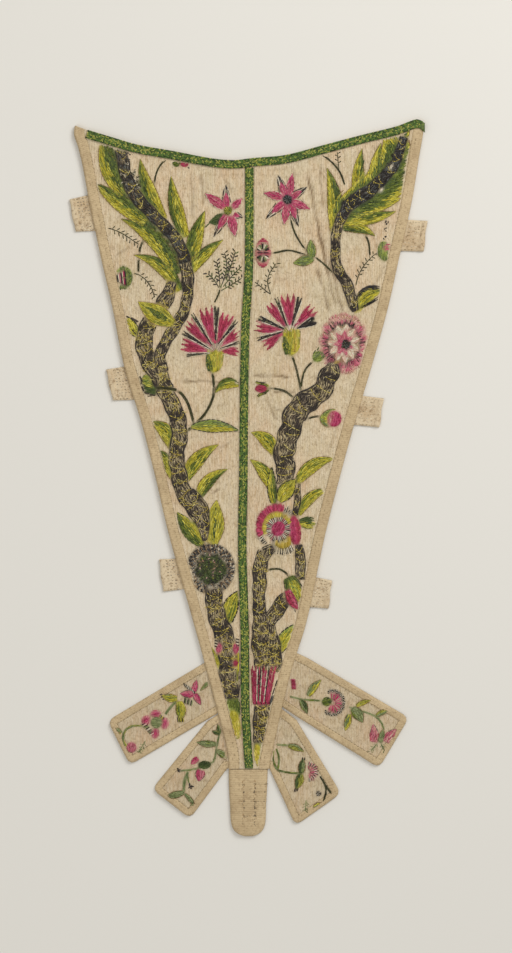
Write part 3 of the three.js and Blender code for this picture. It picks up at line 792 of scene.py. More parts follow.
    def fringe(
        self,
        centre: Row,
        inner: float,
        outer: float,
        span: Row,
        pitch: float,
        shades: Sequence[Shades],
        rise: float = 0.4,
        width: float = 0.7,
        rough: float = 0.15,
        flat: float = 1.0,
        group: int = 1,
    ) -> None:
        """Lay stitches that stand out from a centre, shade after shade.

        Args:
            centre: The centre.
            inner: Inner radius.
            outer: Outer radius.
            span: First and last angle in degrees.
            pitch: Spacing at the outer radius.
            shades: Shades in turn.
            rise: Padding height.
            width: The thread's width.
            rough: Unevenness of the ends as a share of their length.
            flat: Height of the ring as a share of its width.
            group: Stitches laid before the shade changes.
        """
        count = max(2, round(math.radians(abs(span[1] - span[0])) * outer / pitch))
        depth = outer - inner
        for k in range(count):
            angle = math.radians(span[0] + (span[1] - span[0]) * (k + 0.5) / count)
            lean = angle + self.rng.uniform(-0.05, 0.05)
            r0 = inner + depth * rough * self.rng.uniform(-0.5, 0.5)
            r1 = outer + depth * rough * self.rng.uniform(-1.0, 1.0)
            a = (centre[0] + r0 * math.cos(angle), centre[1] + r0 * math.sin(angle) * flat)
            b = (centre[0] + r1 * math.cos(lean), centre[1] + r1 * math.sin(lean) * flat)
            self.lay(a, b, width, shades[(k // group) % len(shades)], rise, self.rng.uniform(0.0, 0.14))

    def knots(self, centre: Row, radius: float, count: int, shades: Shades, rise: float = 0.55) -> None:
        """Scatter short stitches thickly over a disc.

        Args:
            centre: Its centre.
            radius: Its radius.
            count: Number of stitches.
            shades: Its shades.
            rise: Padding height.
        """
        for _ in range(count):
            r = radius * math.sqrt(self.rng.random())
            a = self.rng.uniform(0, 2 * math.pi)
            w = self.rng.uniform(0, 2 * math.pi)
            x, y = centre[0] + r * math.cos(a), centre[1] + r * math.sin(a)
            end = (x + 1.3 * math.cos(w), y + 1.3 * math.sin(w))
            self.lay((x, y), end, FLOSS, shades, rise, self.rng.uniform(0, 0.2))

    def strokes(self, rows: Sequence[Row], width: float, shades: Shades, rise: float = 0.3) -> None:
        """Lay single straight stitches.

        Args:
            rows: Starts and ends as x, y, x, y.
            width: The thread's width.
            shades: Its shades.
            rise: Padding height.
        """
        for x0, y0, x1, y1 in rows:
            length = math.hypot(x1 - x0, y1 - y0)
            parts = max(1, round(length / 4.5))
            for k in range(parts):
                shares = (k / parts, min((k + 1.08) / parts, 1))
                ends = [(x0 + (x1 - x0) * share, y0 + (y1 - y0) * share) for share in shares]
                self.lay(*ends, width, shades, rise, 0.12)


# ------------------------------------------------------------------ heights and worn marks of the cloth
def near_line(x: Array, y: Array, row: Row) -> tuple[Array, Array]:
    """Measure points against a straight line.

    Args:
        x: Points' X.
        y: Points' Y.
        row: The line as x, y, x, y.

    Returns:
        Distance from it, and how far along it, 0 to 1.
    """
    dx, dy = row[2] - row[0], row[3] - row[1]
    along = np.clip(((x - row[0]) * dx + (y - row[1]) * dy) / (dx * dx + dy * dy), 0, 1)
    return np.hypot(x - row[0] - dx * along, y - row[1] - dy * along), along


@dataclass
class Relief:
    """Padding under the stitches, on a fine grid, with the colour that shows between them: the threads' own
    colour, darkened a little as painted shade in the gaps.
    """

    step: float = 0.5
    left: float = -100.0
    low: float = -200.0
    height: Array = field(default_factory=lambda: np.zeros((801, 401)))
    cover: Array = field(default_factory=lambda: np.zeros((801, 401)))
    tint: Array = field(default_factory=lambda: np.zeros((801, 401, 3)))
    top: Array = field(default_factory=lambda: np.zeros((801, 401)))

    def take(self, area: Stitches) -> None:
        """Add the stitches of an area.

        Args:
            area: The stitches.
        """
        rows = np.array(area.rows)
        if not len(rows):
            return
        length = np.hypot(rows[:, 2] - rows[:, 0], rows[:, 3] - rows[:, 1])
        count = np.maximum(2, np.ceil(length / 0.4)).astype(int)
        owner = np.repeat(np.arange(len(rows)), count)
        start = np.repeat(np.cumsum(count) - count, count)
        share = (np.arange(len(owner)) - start) / np.repeat(np.maximum(count - 1, 1), count)
        x = rows[owner, 0] + (rows[owner, 2] - rows[owner, 0]) * share
        y = rows[owner, 1] + (rows[owner, 3] - rows[owner, 1]) * share
        i = np.clip(np.round((y - self.low) / self.step).astype(int), 1, self.height.shape[0] - 2)
        j = np.clip(np.round((x - self.left) / self.step).astype(int), 1, self.height.shape[1] - 2)
        np.maximum.at(self.height, (i, j), rows[owner, 5])
        np.maximum.at(self.top, (i, j), rows[owner, 10])
        self.cover[i, j] = 1.0
        seen = rows[owner, 10] > self.top[i, j] - 0.03
        self.tint[i[seen], j[seen]] = rows[owner[seen], 7:10]

    @staticmethod
    def blurred(grid: Array, radius: int, passes: int = 3) -> Array:
        """Soften a grid with box means.

        Args:
            grid: The grid.
            radius: Reach of the box in cells.
            passes: How often.

        Returns:
            The softened grid.
        """
        for _ in range(passes):
            for axis in (0, 1):
                grid = sum(np.roll(grid, k, axis=axis) for k in range(-radius, radius + 1)) / (2 * radius + 1)
        return grid

    def settle(self) -> None:
        """Turn the laid rows into smooth padding and an underlay colour, darkened as painted shade between
        the stitches.
        """
        solid = self.blurred(self.cover, 1, 1)
        weight = np.maximum(self.blurred(self.cover, 1, 2), 1e-4)[..., None]
        tint = np.stack([self.blurred(self.tint[..., k], 1, 2) for k in range(3)], axis=2) / weight
        # Painted shade: the underlay is 0.88 of the threads' colour, darker in the gaps between stitches.
        self.tint = np.clip(tint, 0, 1) * 0.88
        full = self.blurred(np.where(solid > 0.3, self.height, 0.0), 1, 1)
        self.height = self.blurred(np.maximum(full, self.height * 0.75), 2, 2) * 1.08
        self.cover = self.blurred(smooth((solid - 0.55) / 0.4), 1, 1)
        near = [np.roll(self.top, (p, q), (0, 1)) for p in (-1, 0, 1) for q in (-1, 0, 1)]
        self.top = np.maximum.reduce(near)

    def read(self, grid: Array, x: Array, y: Array) -> Array:
        """Read a grid between its cells.

        Args:
            grid: The grid.
            x: Where, in X.
            y: Where, in Y.

        Returns:
            The values there.
        """
        fx = np.clip((x - self.left) / self.step, 0, grid.shape[1] - 1.001)
        fy = np.clip((y - self.low) / self.step, 0, grid.shape[0] - 1.001)
        j, i = fx.astype(int), fy.astype(int)
        u, v = fx - j, fy - i
        if grid.ndim == 3:
            u, v = u[..., None], v[..., None]
        return (grid[i, j] * (1 - u) + grid[i, j + 1] * u) * (1 - v) + (
            grid[i + 1, j] * (1 - u) + grid[i + 1, j + 1] * u
        ) * v


# Creases worn into the silk: columns x, y, x, y, depth, half width, and strength of the painted shade along
# the line.
CREASES: tuple[Row, ...] = (
    (31.5, 166, 39.5, 124, 0.55, 2.2, 1.0), (36.2, 142, 47.5, 90, 0.55, 2.2, 1.0),
    (38.2, 132, 44, 106, 0.3, 2.2, 0.9), (38.5, 170, 40, 144, 0.36, 2.2, 0.6),
    (36, 114, 40, 103, 0.42, 2.0, 0.9), (40, 104, 44, 88, 0.42, 2.0, 0.8),
    (43.4, 120, 51, 88, 0.34, 1.8, 0.9), (17, 122, 14, 104, 0.26, 2.4, 0.5),
    (14, 108, 22, 107, 0.2, 2.0, 0.3), (1, 55.5, 24, 54.5, 0.36, 2.2, 0.9), (12, 46.5, 26, 46, 0.3, 1.8, 0.7),
    (-38, 52.5, -10, 51.5, 0.32, 2.2, 0.8), (-26, 165, -24, 146, 0.3, 2.2, 0.6),
    (-31, 165, -30, 140, 0.26, 2.0, 0.5), (-15, -5, -20, -9, 0.34, 1.8, 0.8),
    (-8, 152, -16, 168, 0.2, 2.0, 0.4), (-52, 52, -40, 54, 0.2, 2.0, 0.2), (30, 55, 46, 52, 0.26, 2.2, 0.4),
    (-60, 128, -74, 118, 0.26, 2.6, 0.4), (-8, 20, -22, 14, 0.22, 2.6, 0.4), (4, -16, 9, -44, 0.2, 2.4, 0.3),
    (60, 150, 74, 112, 0.2, 3.0, 0.2), (8, 44, 16, 30, 0.26, 2.4, 0.6), (9, 39, 20, 36, 0.2, 2.0, 0.4),
    (-12, 40, -26, 38, 0.18, 2.2, 0.3), (-62, 60, -50, 20, 0.2, 2.6, 0.3), (30, -40, 35, -60, 0.2, 2.0, 0.3),
    (-40, -40, -33, -66, 0.2, 2.2, 0.3), (54, 40, 40, 10, 0.2, 2.6, 0.3), (-14, -52, -5, -50, 0.2, 1.6, 0.4),
    (-30, 96, -27, 112, 0.2, 2.2, 0.3), (20, 172, 26, 162, 0.2, 2.0, 0.4), (68, 104, 74, 116, 0.22, 2.0, 0.4),
)
TAB_CREASES: tuple[Row, ...] = (
    (25, -125, 30, -135, 0.24, 1.6, 0.9), (30, -98, 45, -108, 0.24, 1.8, 0.7),
    (21, -122, 30, -133, 0.2, 1.4, 0.7), (-24, -102, -34, -124, 0.22, 2.0, 0.5),
    (-13, -128, -22, -136, 0.2, 1.6, 0.6), (-55, -124, -49, -142, 0.18, 2.0, 0.4),
    (56, -117, 49, -139, 0.18, 2.0, 0.4), (-30, -145, -42, -176, 0.16, 2.0, 0.3),
    (30, -150, 40, -172, 0.16, 2.0, 0.3), (-31, -104, -40, -130, 0.16, 1.6, 0.3),
    (-62, -128, -56, -146, 0.16, 1.6, 0.3), (36, -103, 30, -124, 0.16, 1.6, 0.3),
    (66, -120, 57, -146, 0.16, 1.8, 0.3), (-21, -142, -30, -152, 0.16, 1.6, 0.4),
    (-24, -168, -38, -164, 0.16, 1.8, 0.3), (18, -136, 24, -150, 0.18, 1.6, 0.4),
    (24, -166, 36, -164, 0.16, 1.8, 0.3), (-18, -148, -12, -144, 0.14, 1.4, 0.4),
)


@dataclass
class Lie:
    """How the cloth lies: base heights, padding and creases together, in mm."""

    relief: Relief

    def creases(self, x: Array, y: Array, rows: Sequence[Row]) -> tuple[Array, Array]:
        """Depth of the creases, and the painted shade darkened along them.

        Args:
            x: Points' X.
            y: Points' Y.
            rows: The creases.

        Returns:
            Depth in mm, and painted shade from 0 to 1.
        """
        deep, crease_shade_and_tone = np.zeros(np.shape(x)), np.zeros(np.shape(x))
        for row in rows:
            away, along = near_line(
                x + 0.3 * np.sin(y * 0.4 + row[0]), y + 0.3 * np.sin(x * 0.4 + row[1]), row
            )
            taper = smooth(np.minimum(along, 1 - along) * 5 + 0.1) * (
                0.75 + 0.25 * np.sin(along * 9 + row[0])
            )
            trough = smooth(1 - away / row[5]) - 0.45 * smooth(
                1 - np.abs(away - row[5] * 1.25) / (row[5] * 0.8)
            )
            deep += row[4] * taper * trough
            # Painted shade: the line along the bottom of each fold is darkened where shade falls.
            crease_shade_and_tone = np.maximum(crease_shade_and_tone, row[6] * taper * smooth(1.25 - away / 0.8))
        return deep, crease_shade_and_tone

    def front(self, x: Array, y: Array) -> Array:
        """Outer face of the front: flat under the braids, raised where it is worked."""
        from_seam = np.abs(x - CUT.seam_line(y))
        from_neck = CUT.neckline(x) - y
        free = smooth((from_seam - 2.6) / 1.6) * smooth((from_neck - 4.8) / 1.6)
        wave = 0.10 * np.sin(x * 0.16 + y * 0.05) * np.sin(y * 0.11 - x * 0.04)
        wave += 0.05 * np.sin(x * 0.43 - y * 0.12 + 1) * np.sin(y * 0.27 + x * 0.1)
        wave += 0.035 * np.sin(x * 0.95 + 1.3 * np.sin(y * 0.17)) * np.sin(y * 0.42 + 1.6 * np.sin(x * 0.21))
        deep, _ = self.creases(x, y, CREASES)
        return CUT.wall + free * (self.relief.read(self.relief.height, x, y) - deep + wave)

    def topmost(self, x: Array, y: Array) -> Array:
        """Topmost layer of stitches at a place."""
        return self.relief.read(self.relief.top, x, y)

    def ribbon_step(self, x: Array, y: Array) -> Array:
        """How much the ribbon round a lower tab stands over its silk, where a stitch lies on it."""
        step = np.zeros(np.shape(x))
        for name in LOWER_TABS:
            points = LowerTab(name, self, None).outline(0.0)
            nearest = np.full(np.shape(x), 99.0)
            for a, b in zip(points, points[1:]):
                nearest = np.minimum(nearest, near_line(x, y, (*a, *b))[0])
            step = np.maximum(step, smooth((4.3 - nearest) / 0.5))
        return step * (CUT.tab_ribbon_height - CUT.tab_wall - 0.05)

    def tab_work(self, x: Array, y: Array) -> Array:
        """What the stitches of a lower tab lie on."""
        return self.tab(x, y) + self.ribbon_step(x, y) * smooth((CUT.outside(x, y) - 1.0) / 3.5)

    def tab(self, x: Array, y: Array) -> Array:
        """Outer face of a lower tab: thin where it is tucked in, padded where it is worked."""
        free = smooth((CUT.outside(x, y) - 1.0) / 4)
        wave = 0.05 * np.sin(x * 0.31 + y * 0.12) * np.sin(y * 0.25 - x * 0.1)
        wave += 0.04 * np.sin(x * 0.9 + 1.4 * np.sin(y * 0.3)) * np.sin(y * 0.7 + 1.2 * np.sin(x * 0.35))
        deep, _ = self.creases(x, y, TAB_CREASES)
        height = CUT.tab_wall - CUT.tuck_height + 0.8 * self.relief.read(
            self.relief.height, x, y
        ) - deep + wave
        return CUT.tuck_height + free * height


# ------------------------------------------------------------------ meshes
def name_piece(piece: Piece, name: str) -> None:
    """Name a piece and its mesh."""
    piece.name = name
    piece.data.name = name


def vectors(items: bpy.types.bpy_prop_collection, name: str) -> Array:
    """Read a vector of every vertex or face.

    Args:
        items: The vertices or faces.
        name: The vector's name.

    Returns:
        One row each.
    """
    values = np.empty(len(items) * 3, dtype=np.float32)
    items.foreach_get(name, values)
    return values.reshape(-1, 3)


def all_loops(mesh: Mesh) -> Array:
    """Vertex number of every loop of a mesh."""
    loops = np.empty(len(mesh.loops), dtype=np.int32)
    mesh.loops.foreach_get("vertex_index", loops)
    return loops


def fill_uv(mesh: Mesh, name: str, points: Array) -> None:
    """Give a mesh a UV map from one pair a vertex."""
    layer = mesh.uv_layers.get(name) or mesh.uv_layers.new(name=name)
    layer.uv.foreach_set("vector", points[all_loops(mesh)].astype(np.float32).ravel())


def fill_colour(mesh: Mesh, name: str, colours: Array) -> None:
    """Give a mesh a colour attribute from one colour a vertex."""
    layer = mesh.color_attributes.new(name=name, type="FLOAT_COLOR", domain="POINT")
    layer.data.foreach_set("color", colours.astype(np.float32).ravel())


def stitch_mesh(area: Stitches, heights: Level, sink: float = 0.1, top: Level | None = None) -> Piece:
    """Build the threads of an area as one piece.

    Args:
        area: The stitches.
        heights: Height of the cloth under them.
        sink: How far their feet go into it.
        top: Topmost layer at a place, under which stitches of lower layers are pressed down, or none.

    Returns:
        The piece, in metres.
    """
    rows = np.array(area.rows)
    count = len(rows)
    a, b = rows[:, 0:2], rows[:, 2:4]
    along = b - a
    length = np.maximum(np.hypot(along[:, 0], along[:, 1]), 1e-6)
    side = np.stack([-along[:, 1], along[:, 0]], axis=1) / length[:, None]
    half = rows[:, 4] / 2
    lift = rows[:, 6]
    taper, deepest = 0.9, 0.4
    points = np.zeros((count, 8, 3))
    near, far = np.minimum(taper / length, 0.25), np.maximum(1 - taper / length, 0.75)
    for slot, (share, across) in enumerate(
        [(None, 0), (near, 1), (near, 0), (near, -1), (far, 1), (far, 0), (far, -1), (None, 0)]
    ):
        t = np.zeros(count) if slot == 0 else np.ones(count) if slot == 7 else share
        spot = a + along * t[:, None] + side * (half * across)[:, None]
        points[:, slot, :2] = spot
        ground = heights(spot[:, 0], spot[:, 1])
        if top is not None:
            ground = ground - np.clip(2 * (top(spot[:, 0], spot[:, 1]) - rows[:, 10]), 0, deepest)
        if slot in (0, 7):
            points[:, slot, 2] = ground - sink * 0.6 + lift * 0.3
        elif across == 0:
            points[:, slot, 2] = ground + lift + half * 0.72
        else:
            points[:, slot, 2] = ground - sink + lift * 0.7
    pattern = np.array(
        [
            (0, 3, 2), (0, 2, 1), (0, 1, 3), (1, 2, 5), (1, 5, 4), (2, 3, 6), (2, 6, 5), (3, 1, 4), (3, 4, 6),
            (7, 4, 5), (7, 5, 6), (7, 6, 4),
        ]
    )
    faces = (pattern[None] + 8 * np.arange(count)[:, None, None]).reshape(-1, 3)
    mesh = bpy.data.meshes.new(area.name)
    mesh.vertices.add(count * 8)
    mesh.vertices.foreach_set("co", (points * MM).astype(np.float32).ravel())
    mesh.loops.add(len(faces) * 3)
    mesh.loops.foreach_set("vertex_index", faces.astype(np.int32).ravel())
    mesh.polygons.add(len(faces))
    mesh.polygons.foreach_set("loop_start", np.arange(0, len(faces) * 3, 3, dtype=np.int32))
    mesh.polygons.foreach_set("use_smooth", np.ones(len(faces), dtype=bool))
    mesh.update()
    mesh.validate()
    colours = np.ones((count, 8, 4))
    colours[:, :, :3] = rows[:, None, 7:10]
    fill_colour(mesh, "thread", colours.reshape(-1, 4))
    kinds, owner = np.unique(np.round(rows[:, 7:10], 4), axis=0, return_inverse=True)
    cells = max(1, math.ceil(math.sqrt(len(kinds))))
    corner = np.stack([owner.ravel() % cells, owner.ravel() // cells], axis=1) + 0.5
    spread = np.array(
        [(-1, 0), (-0.6, 1), (-0.6, 0.2), (-0.6, -1), (0.6, 1), (0.6, 0.2), (0.6, -1), (1, 0)]
    ) * 0.22
    fill_uv(mesh, "OFBake", ((corner[:, None, :] + spread[None]) / cells).reshape(-1, 2))
    piece = bpy.data.objects.new(area.name, mesh)
    bpy.context.collection.objects.link(piece)
    LOG.info("%s: %d stitches, %d threads of colour", area.name, count, len(kinds))
    return piece


@dataclass
class Cloth:
    """A piece of cloth: a grid laid along two directions, thickened down to its underside.

    Args:
        name: The piece's name.
        cells: Cells across and along.
        place: Turns shares across and along into X, Y and top height in mm.
        floor: Height of the underside at a point, in mm.
        size: Rough size across and along in mm, for the weave's UV map.
    """

    name: str
    cells: tuple[int, int]
    place: Place
    floor: Level
    size: tuple[float, float]

    def build(self) -> Piece:
        """Make the piece.

        Returns:
            The piece, in metres.
        """
        bpy.ops.object.select_all(action="DESELECT")
        bpy.ops.mesh.primitive_grid_add(x_subdivisions=self.cells[0], y_subdivisions=self.cells[1], size=2)
        piece = bpy.context.object
        name_piece(piece, self.name)
        mesh = piece.data
        count = len(mesh.vertices)
        shares = vectors(mesh.vertices, "co")[:, :2].astype(float) * 0.5 + 0.5
        x, y, z = self.place(shares[:, 0], shares[:, 1])
        mesh.vertices.foreach_set("co", (np.stack([x, y, z], axis=1) * MM).astype(np.float32).ravel())
        mesh.uv_layers[0].name = "weave"
        fill_uv(mesh, "weave", shares * np.array(self.size) * MM)
        thick = piece.modifiers.new("thickness", "SOLIDIFY")
        thick.thickness = CUT.wall * MM
        thick.offset = -1
        bpy.ops.object.modifier_apply(modifier=thick.name)
        points = vectors(mesh.vertices, "co")
        under = np.minimum(self.floor(x, y), z - 0.12)
        points[count:, 0], points[count:, 1], points[count:, 2] = x * MM, y * MM, under * MM
        mesh.vertices.foreach_set("co", points.ravel())
        mesh.update()
        if vectors(mesh.polygons, "normal")[: self.cells[0] * self.cells[1], 2].sum() < 0:
            mesh.flip_normals()
        bpy.ops.object.shade_smooth_by_angle(angle=math.radians(50))
        return piece

    @staticmethod
    def area(piece: Piece) -> float:
        """Half the surface of a closed piece, in square metres."""
        return sum(face.area for face in piece.data.polygons) / 2


def mark_cloth(piece: Piece, relief: Relief, crease_shade_and_tone: Level) -> None:
    """Give cloth its underlay colour and its painted shade along the creases as attributes.

    Args:
        piece: The cloth.
        relief: Where it is worked, and in what colour.
        crease_shade_and_tone: Painted shade along the creases, 0 to 1; on the tabs it never falls below a
            floor that tones their silk evenly darker.
    """
    mesh = piece.data
    points = vectors(mesh.vertices, "co")
    x, y = points[:, 0] / MM, points[:, 1] / MM
    tint = relief.read(relief.tint, x, y)
    cover = relief.read(relief.cover, x, y)
    fill_colour(mesh, "worked", np.concatenate([tint, np.ones((len(x), 1))], axis=1))
    # Red: where the cloth is worked. Green: painted shade along the creases, and on the tabs an even darker
    # tone.
    cover_crease_shade_and_tone = np.stack([cover, crease_shade_and_tone(x, y), np.zeros(len(x)), np.ones(len(x))], axis=1)
    fill_colour(mesh, "cover_crease_shade_and_tone", cover_crease_shade_and_tone)


# ------------------------------------------------------------------ finishes
@dataclass(frozen=True)
class Mark:
    """Marks that noise scatters over a cloth: their colour, their strength and the band of it that shows."""

    colour: str
    share: float
    band: tuple[float, float]
    scale: float
    detail: float = 2.0
    rough: float = 0.5
    stretch: Row = (1, 1, 1)


class Look:
    """A finish in the making: its shader, and the colour that is built up for it layer by layer."""

    def __init__(self, name: str, ground: str) -> None:
        """Start a material with its shader and output joined up.

        Args:
            name: The material's name.
            ground: Hex colour of its ground.
        """
        self.material = bpy.data.materials.new(name)
        self.material.use_nodes = True
        self.tree = self.material.node_tree
        self.tree.nodes.clear()
        self.shader = add_node(self.tree, "ShaderNodeBsdfPrincipled")
        add_node(self.tree, "ShaderNodeOutputMaterial", links={"Surface": self.shader.outputs["BSDF"]})
        self.tone: Socket | str = ground

    def where(self, stretch: Row = (1, 1, 1), source: str = "Object") -> Socket:
        """Coordinates of a piece, scaled a different amount each way.

        Args:
            stretch: Repeats a metre along X, Y and Z.
            source: Object for the piece's own space, or weave for the cloth's map.

        Returns:
            The scaled coordinates.
        """
        if source == "Object":
            origin = add_node(self.tree, "ShaderNodeTexCoord").outputs["Object"]
        else:
            origin = add_node(self.tree, "ShaderNodeUVMap", {"uv_map": source}).outputs["UV"]
        mapping = add_node(self.tree, "ShaderNodeMapping", {"Scale": tuple(stretch)}, {"Vector": origin})
        return mapping.outputs["Vector"]

    def clouds(
        self, scale: float, detail: float = 2.0, rough: float = 0.5, stretch: Row = (
            1, 1, 1
        ), source: str = "Object"
    ) -> Socket:
        """Soft clouds of noise over a piece.

        Args:
            scale: How fine they are.
            detail: How much finer noise lies in them.
            rough: How strong that is.
            stretch: Repeats a metre along X, Y and Z.
            source: Object or weave.

        Returns:
            Their value, 0 to 1.
        """
        settings = {"Scale": scale, "Detail": detail, "Roughness": rough}
        return add_node(
            self.tree, "ShaderNodeTexNoise", settings, {"Vector": self.where(stretch, source)}
        ).outputs["Fac"]

    def spread(self, value: Socket, low: float, high: float) -> Socket:
        """Spread a band of values to 0 and 1."""
        band = {"From Min": low, "From Max": high}
        return add_node(self.tree, "ShaderNodeMapRange", band, {"Value": value}).outputs["Result"]

    def scaled(self, value: Socket, factor: float) -> Socket:
        """A value times a number."""
        return add_node(
            self.tree, "ShaderNodeMath", {"operation": "MULTIPLY", 1: factor}, {0: value}
        ).outputs[0]

    def summed(self, first: Socket, second: Socket) -> Socket:
        """Two values added."""
        return add_node(self.tree, "ShaderNodeMath", {"operation": "ADD"}, {0: first, 1: second}).outputs[0]

    def painted(self, name: str) -> Socket:
        """A colour attribute of the piece."""
        return add_node(self.tree, "ShaderNodeVertexColor", {"layer_name": name}).outputs["Color"]

    def ribs(self, axis: int, pitch: float, slub: float, source: str = "Object") -> Socket:
        """Ribs of a weave: even waves across one axis, pushed about by slubs.

        Args:
            axis: 0 for ribs that stand beside one another along X, 1 along Y.
            pitch: Their spacing in mm.
            slub: How far slubs push them, in ribs.
            source: Object or weave.

        Returns:
            Height, 0 to 1.
        """
        split = add_node(self.tree, "ShaderNodeSeparateXYZ", links={"Vector": self.where(source=source)})
        turns = self.scaled(split.outputs[axis], 2 * math.pi / (pitch * MM))
        long_way = (260, 40, 40) if axis == 0 else (40, 260, 40)
        push = self.scaled(self.clouds(1.0, stretch=long_way, source=source), slub * 2 * math.pi)
        wave = add_node(self.tree, "ShaderNodeMath", {"operation": "SINE"}, {0: self.summed(turns, push)})
        return self.spread(wave.outputs[0], -1.0, 1.0)

    def lay(self, mask: Socket, share: float, over: Socket | str) -> None:
        """Lay a colour over the tone so far.

        Args:
            mask: Where it shows, 0 to 1.
            share: How strongly.
            over: The colour, as a socket or a hex colour.
        """
        settings: dict[str | int, object] = {"data_type": "RGBA", "blend_type": "MIX"}
        links = {0: self.scaled(mask, share)}
        for place, colour in ((6, self.tone), (7, over)):
            if isinstance(colour, str):
                settings[place] = (*linear(colour), 1.0)
            else:
                links[place] = colour
        self.tone = add_node(self.tree, "ShaderNodeMix", settings, links).outputs[2]

    def mask(self, mark: Mark) -> Socket:
        """Where marks show, 0 to 1."""
        return self.spread(self.clouds(mark.scale, mark.detail, mark.rough, mark.stretch), *mark.band)

    def scatter(self, marks: Sequence[Mark]) -> None:
        """Lay marks over the tone, one kind after another."""
        for mark in marks:
            self.lay(self.mask(mark), mark.share, mark.colour)

    def emboss(self, height: Socket, strength: float, depth: float = 0.3) -> None:
        """Raise the surface."""
        bump = add_node(
            self.tree, "ShaderNodeBump", {"Strength": strength, "Distance": depth * MM}, {"Height": height}
        )
        self.tree.links.new(bump.outputs["Normal"], self.shader.inputs["Normal"])

    def finished(self, roughness: float, specular: float = 0.5) -> Material:
        """Join the tone to the shader.

        Args:
            roughness: The surface's roughness.
            specular: Its shine.

        Returns:
            The material.
        """
        if isinstance(self.tone, str):
            self.shader.inputs["Base Color"].default_value = (*linear(self.tone), 1.0)
        else:
            self.tree.links.new(self.tone, self.shader.inputs["Base Color"])
        self.shader.inputs["Roughness"].default_value = roughness
        self.shader.inputs["Specular IOR Level"].default_value = specular
        return self.material


@dataclass(frozen=True)
class RibbedSilk:
    """Cream silk woven with fine ribs, dulled and spotted by two hundred years of light."""

    name: str = "ribbed_silk_cream_aged"
    ground: str = "#D1BB95"
    # Slubs: thin streaks along the ribs, which are what the eye takes for a woven ground.
    slubs: Mark = Mark("#EBDCC2", 0.6, (0.34, 0.68), 1.0, 3.0, 0.7, (900, 150, 1))
    stains: tuple[Mark, ...] = (
        Mark("#CBB995", 1.0, (0.42, 0.6), 32.0, 4.0),
        Mark("#CFAF88", 1.0, (0.46, 0.68), 58.0, 3.0, stretch=(1, 0.7, 1)),
        Mark("#B79D6C", 0.6, (0.54, 0.74), 95.0, 5.0, 0.65, (1, 0.6, 1)),
    )
    flecks: tuple[Mark, ...] = (
        Mark("#9A7F5A", 0.6, (0.5, 0.72), 1.0, 4.0, 0.7, (700, 260, 1)),
        Mark("#8F7653", 0.6, (0.52, 0.75), 1.0, 2.0, 0.7, (1000, 700, 1)),
    )
    # Colour of the painted shade along the creases, which also tones the tabs' silk evenly darker.
    crease_shade_and_tone_colour: str = "#6F5433"
    rib_pitch: float = 0.95
    bump: float = 0.85

    def build(self) -> Material:
        """Make the material, whose ribs, slubs and crumples catch the light from the side.

        Returns:
            The material.
        """
        look = Look(self.name, self.ground)
        look.scatter((*self.stains, self.slubs, *self.flecks))
        cover_crease_shade_and_tone = add_node(look.tree, "ShaderNodeSeparateColor", links={"Color": look.painted("cover_crease_shade_and_tone")})
        # Painted shade: the creases are darkened, and the tabs' silk is toned evenly darker.
        look.lay(cover_crease_shade_and_tone.outputs[1], 0.95, self.crease_shade_and_tone_colour)
        # Underlay where the cloth is worked, darkened as painted shade between the stitches.
        look.lay(cover_crease_shade_and_tone.outputs[0], 1.0, look.painted("worked"))
        ribs = look.scaled(look.ribs(0, self.rib_pitch, 0.9), 0.5)
        woven = look.summed(look.scaled(look.mask(self.slubs), 0.6), ribs)
        crumple = look.scaled(look.clouds(210.0, 4.0, 0.6, (1, 0.75, 1)), 5.0)
        look.emboss(look.summed(crumple, woven), self.bump)
        look.shader.inputs["Sheen Weight"].default_value = 0.08
        look.shader.inputs["Sheen Roughness"].default_value = 0.4
        return look.finished(0.62, 0.3)


@dataclass(frozen=True)
class Grosgrain:
    """Silk ribbon with ribs across it, folded over a raw edge and a little soiled."""

    name: str = "grosgrain_silk_ribbon_cream"
    ground: str = "#CAB28A"
    shade: Mark = Mark("#BDA57E", 1.0, (0.4, 0.62), 60.0, 4.0)
    # Colour of the painted highlight on the rib crests.
    light: str = "#DCCBA9"
    soil: tuple[Mark, ...] = (
        Mark("#A88E69", 0.6, (0.5, 0.74), 150.0, 5.0, 0.7),
        Mark("#957B5A", 0.75, (0.5, 0.72), 760.0, 3.0, 0.7),
    )
    rib_pitch: float = 1.05
    bump: float = 0.62

    def build(self) -> Material:
        """Make the material, whose ribs are lit along their backs by the bump and by a painted highlight on
        their crests.

        Returns:
            The material.
        """
        look = Look(self.name, self.ground)
        look.scatter((self.shade,))
        ribs = look.ribs(1, self.rib_pitch, 0.9, "weave")
        # Painted highlight: the crests of the ribs are lightened.
        look.lay(ribs, 0.13, self.light)
        look.scatter(self.soil)
        crumple = look.scaled(look.clouds(230.0, 3.0), 4.5)
        look.emboss(look.summed(look.scaled(ribs, 0.5), crumple), self.bump)
        return look.finished(0.6, 0.3)


@dataclass(frozen=True)
class BraidCore:
    """The dyed core that shows between the threads of the plaited braid."""

    name: str = "plaited_silk_braid_core_green"
    ground: str = "#47592A"
    light: Mark = Mark("#6E7B38", 1.0, (0.4, 0.65), 700.0, 3.0)

    def build(self) -> Material:
        """Make the material."""
        look = Look(self.name, self.ground)
        look.scatter((self.light,))
        return look.finished(0.75)


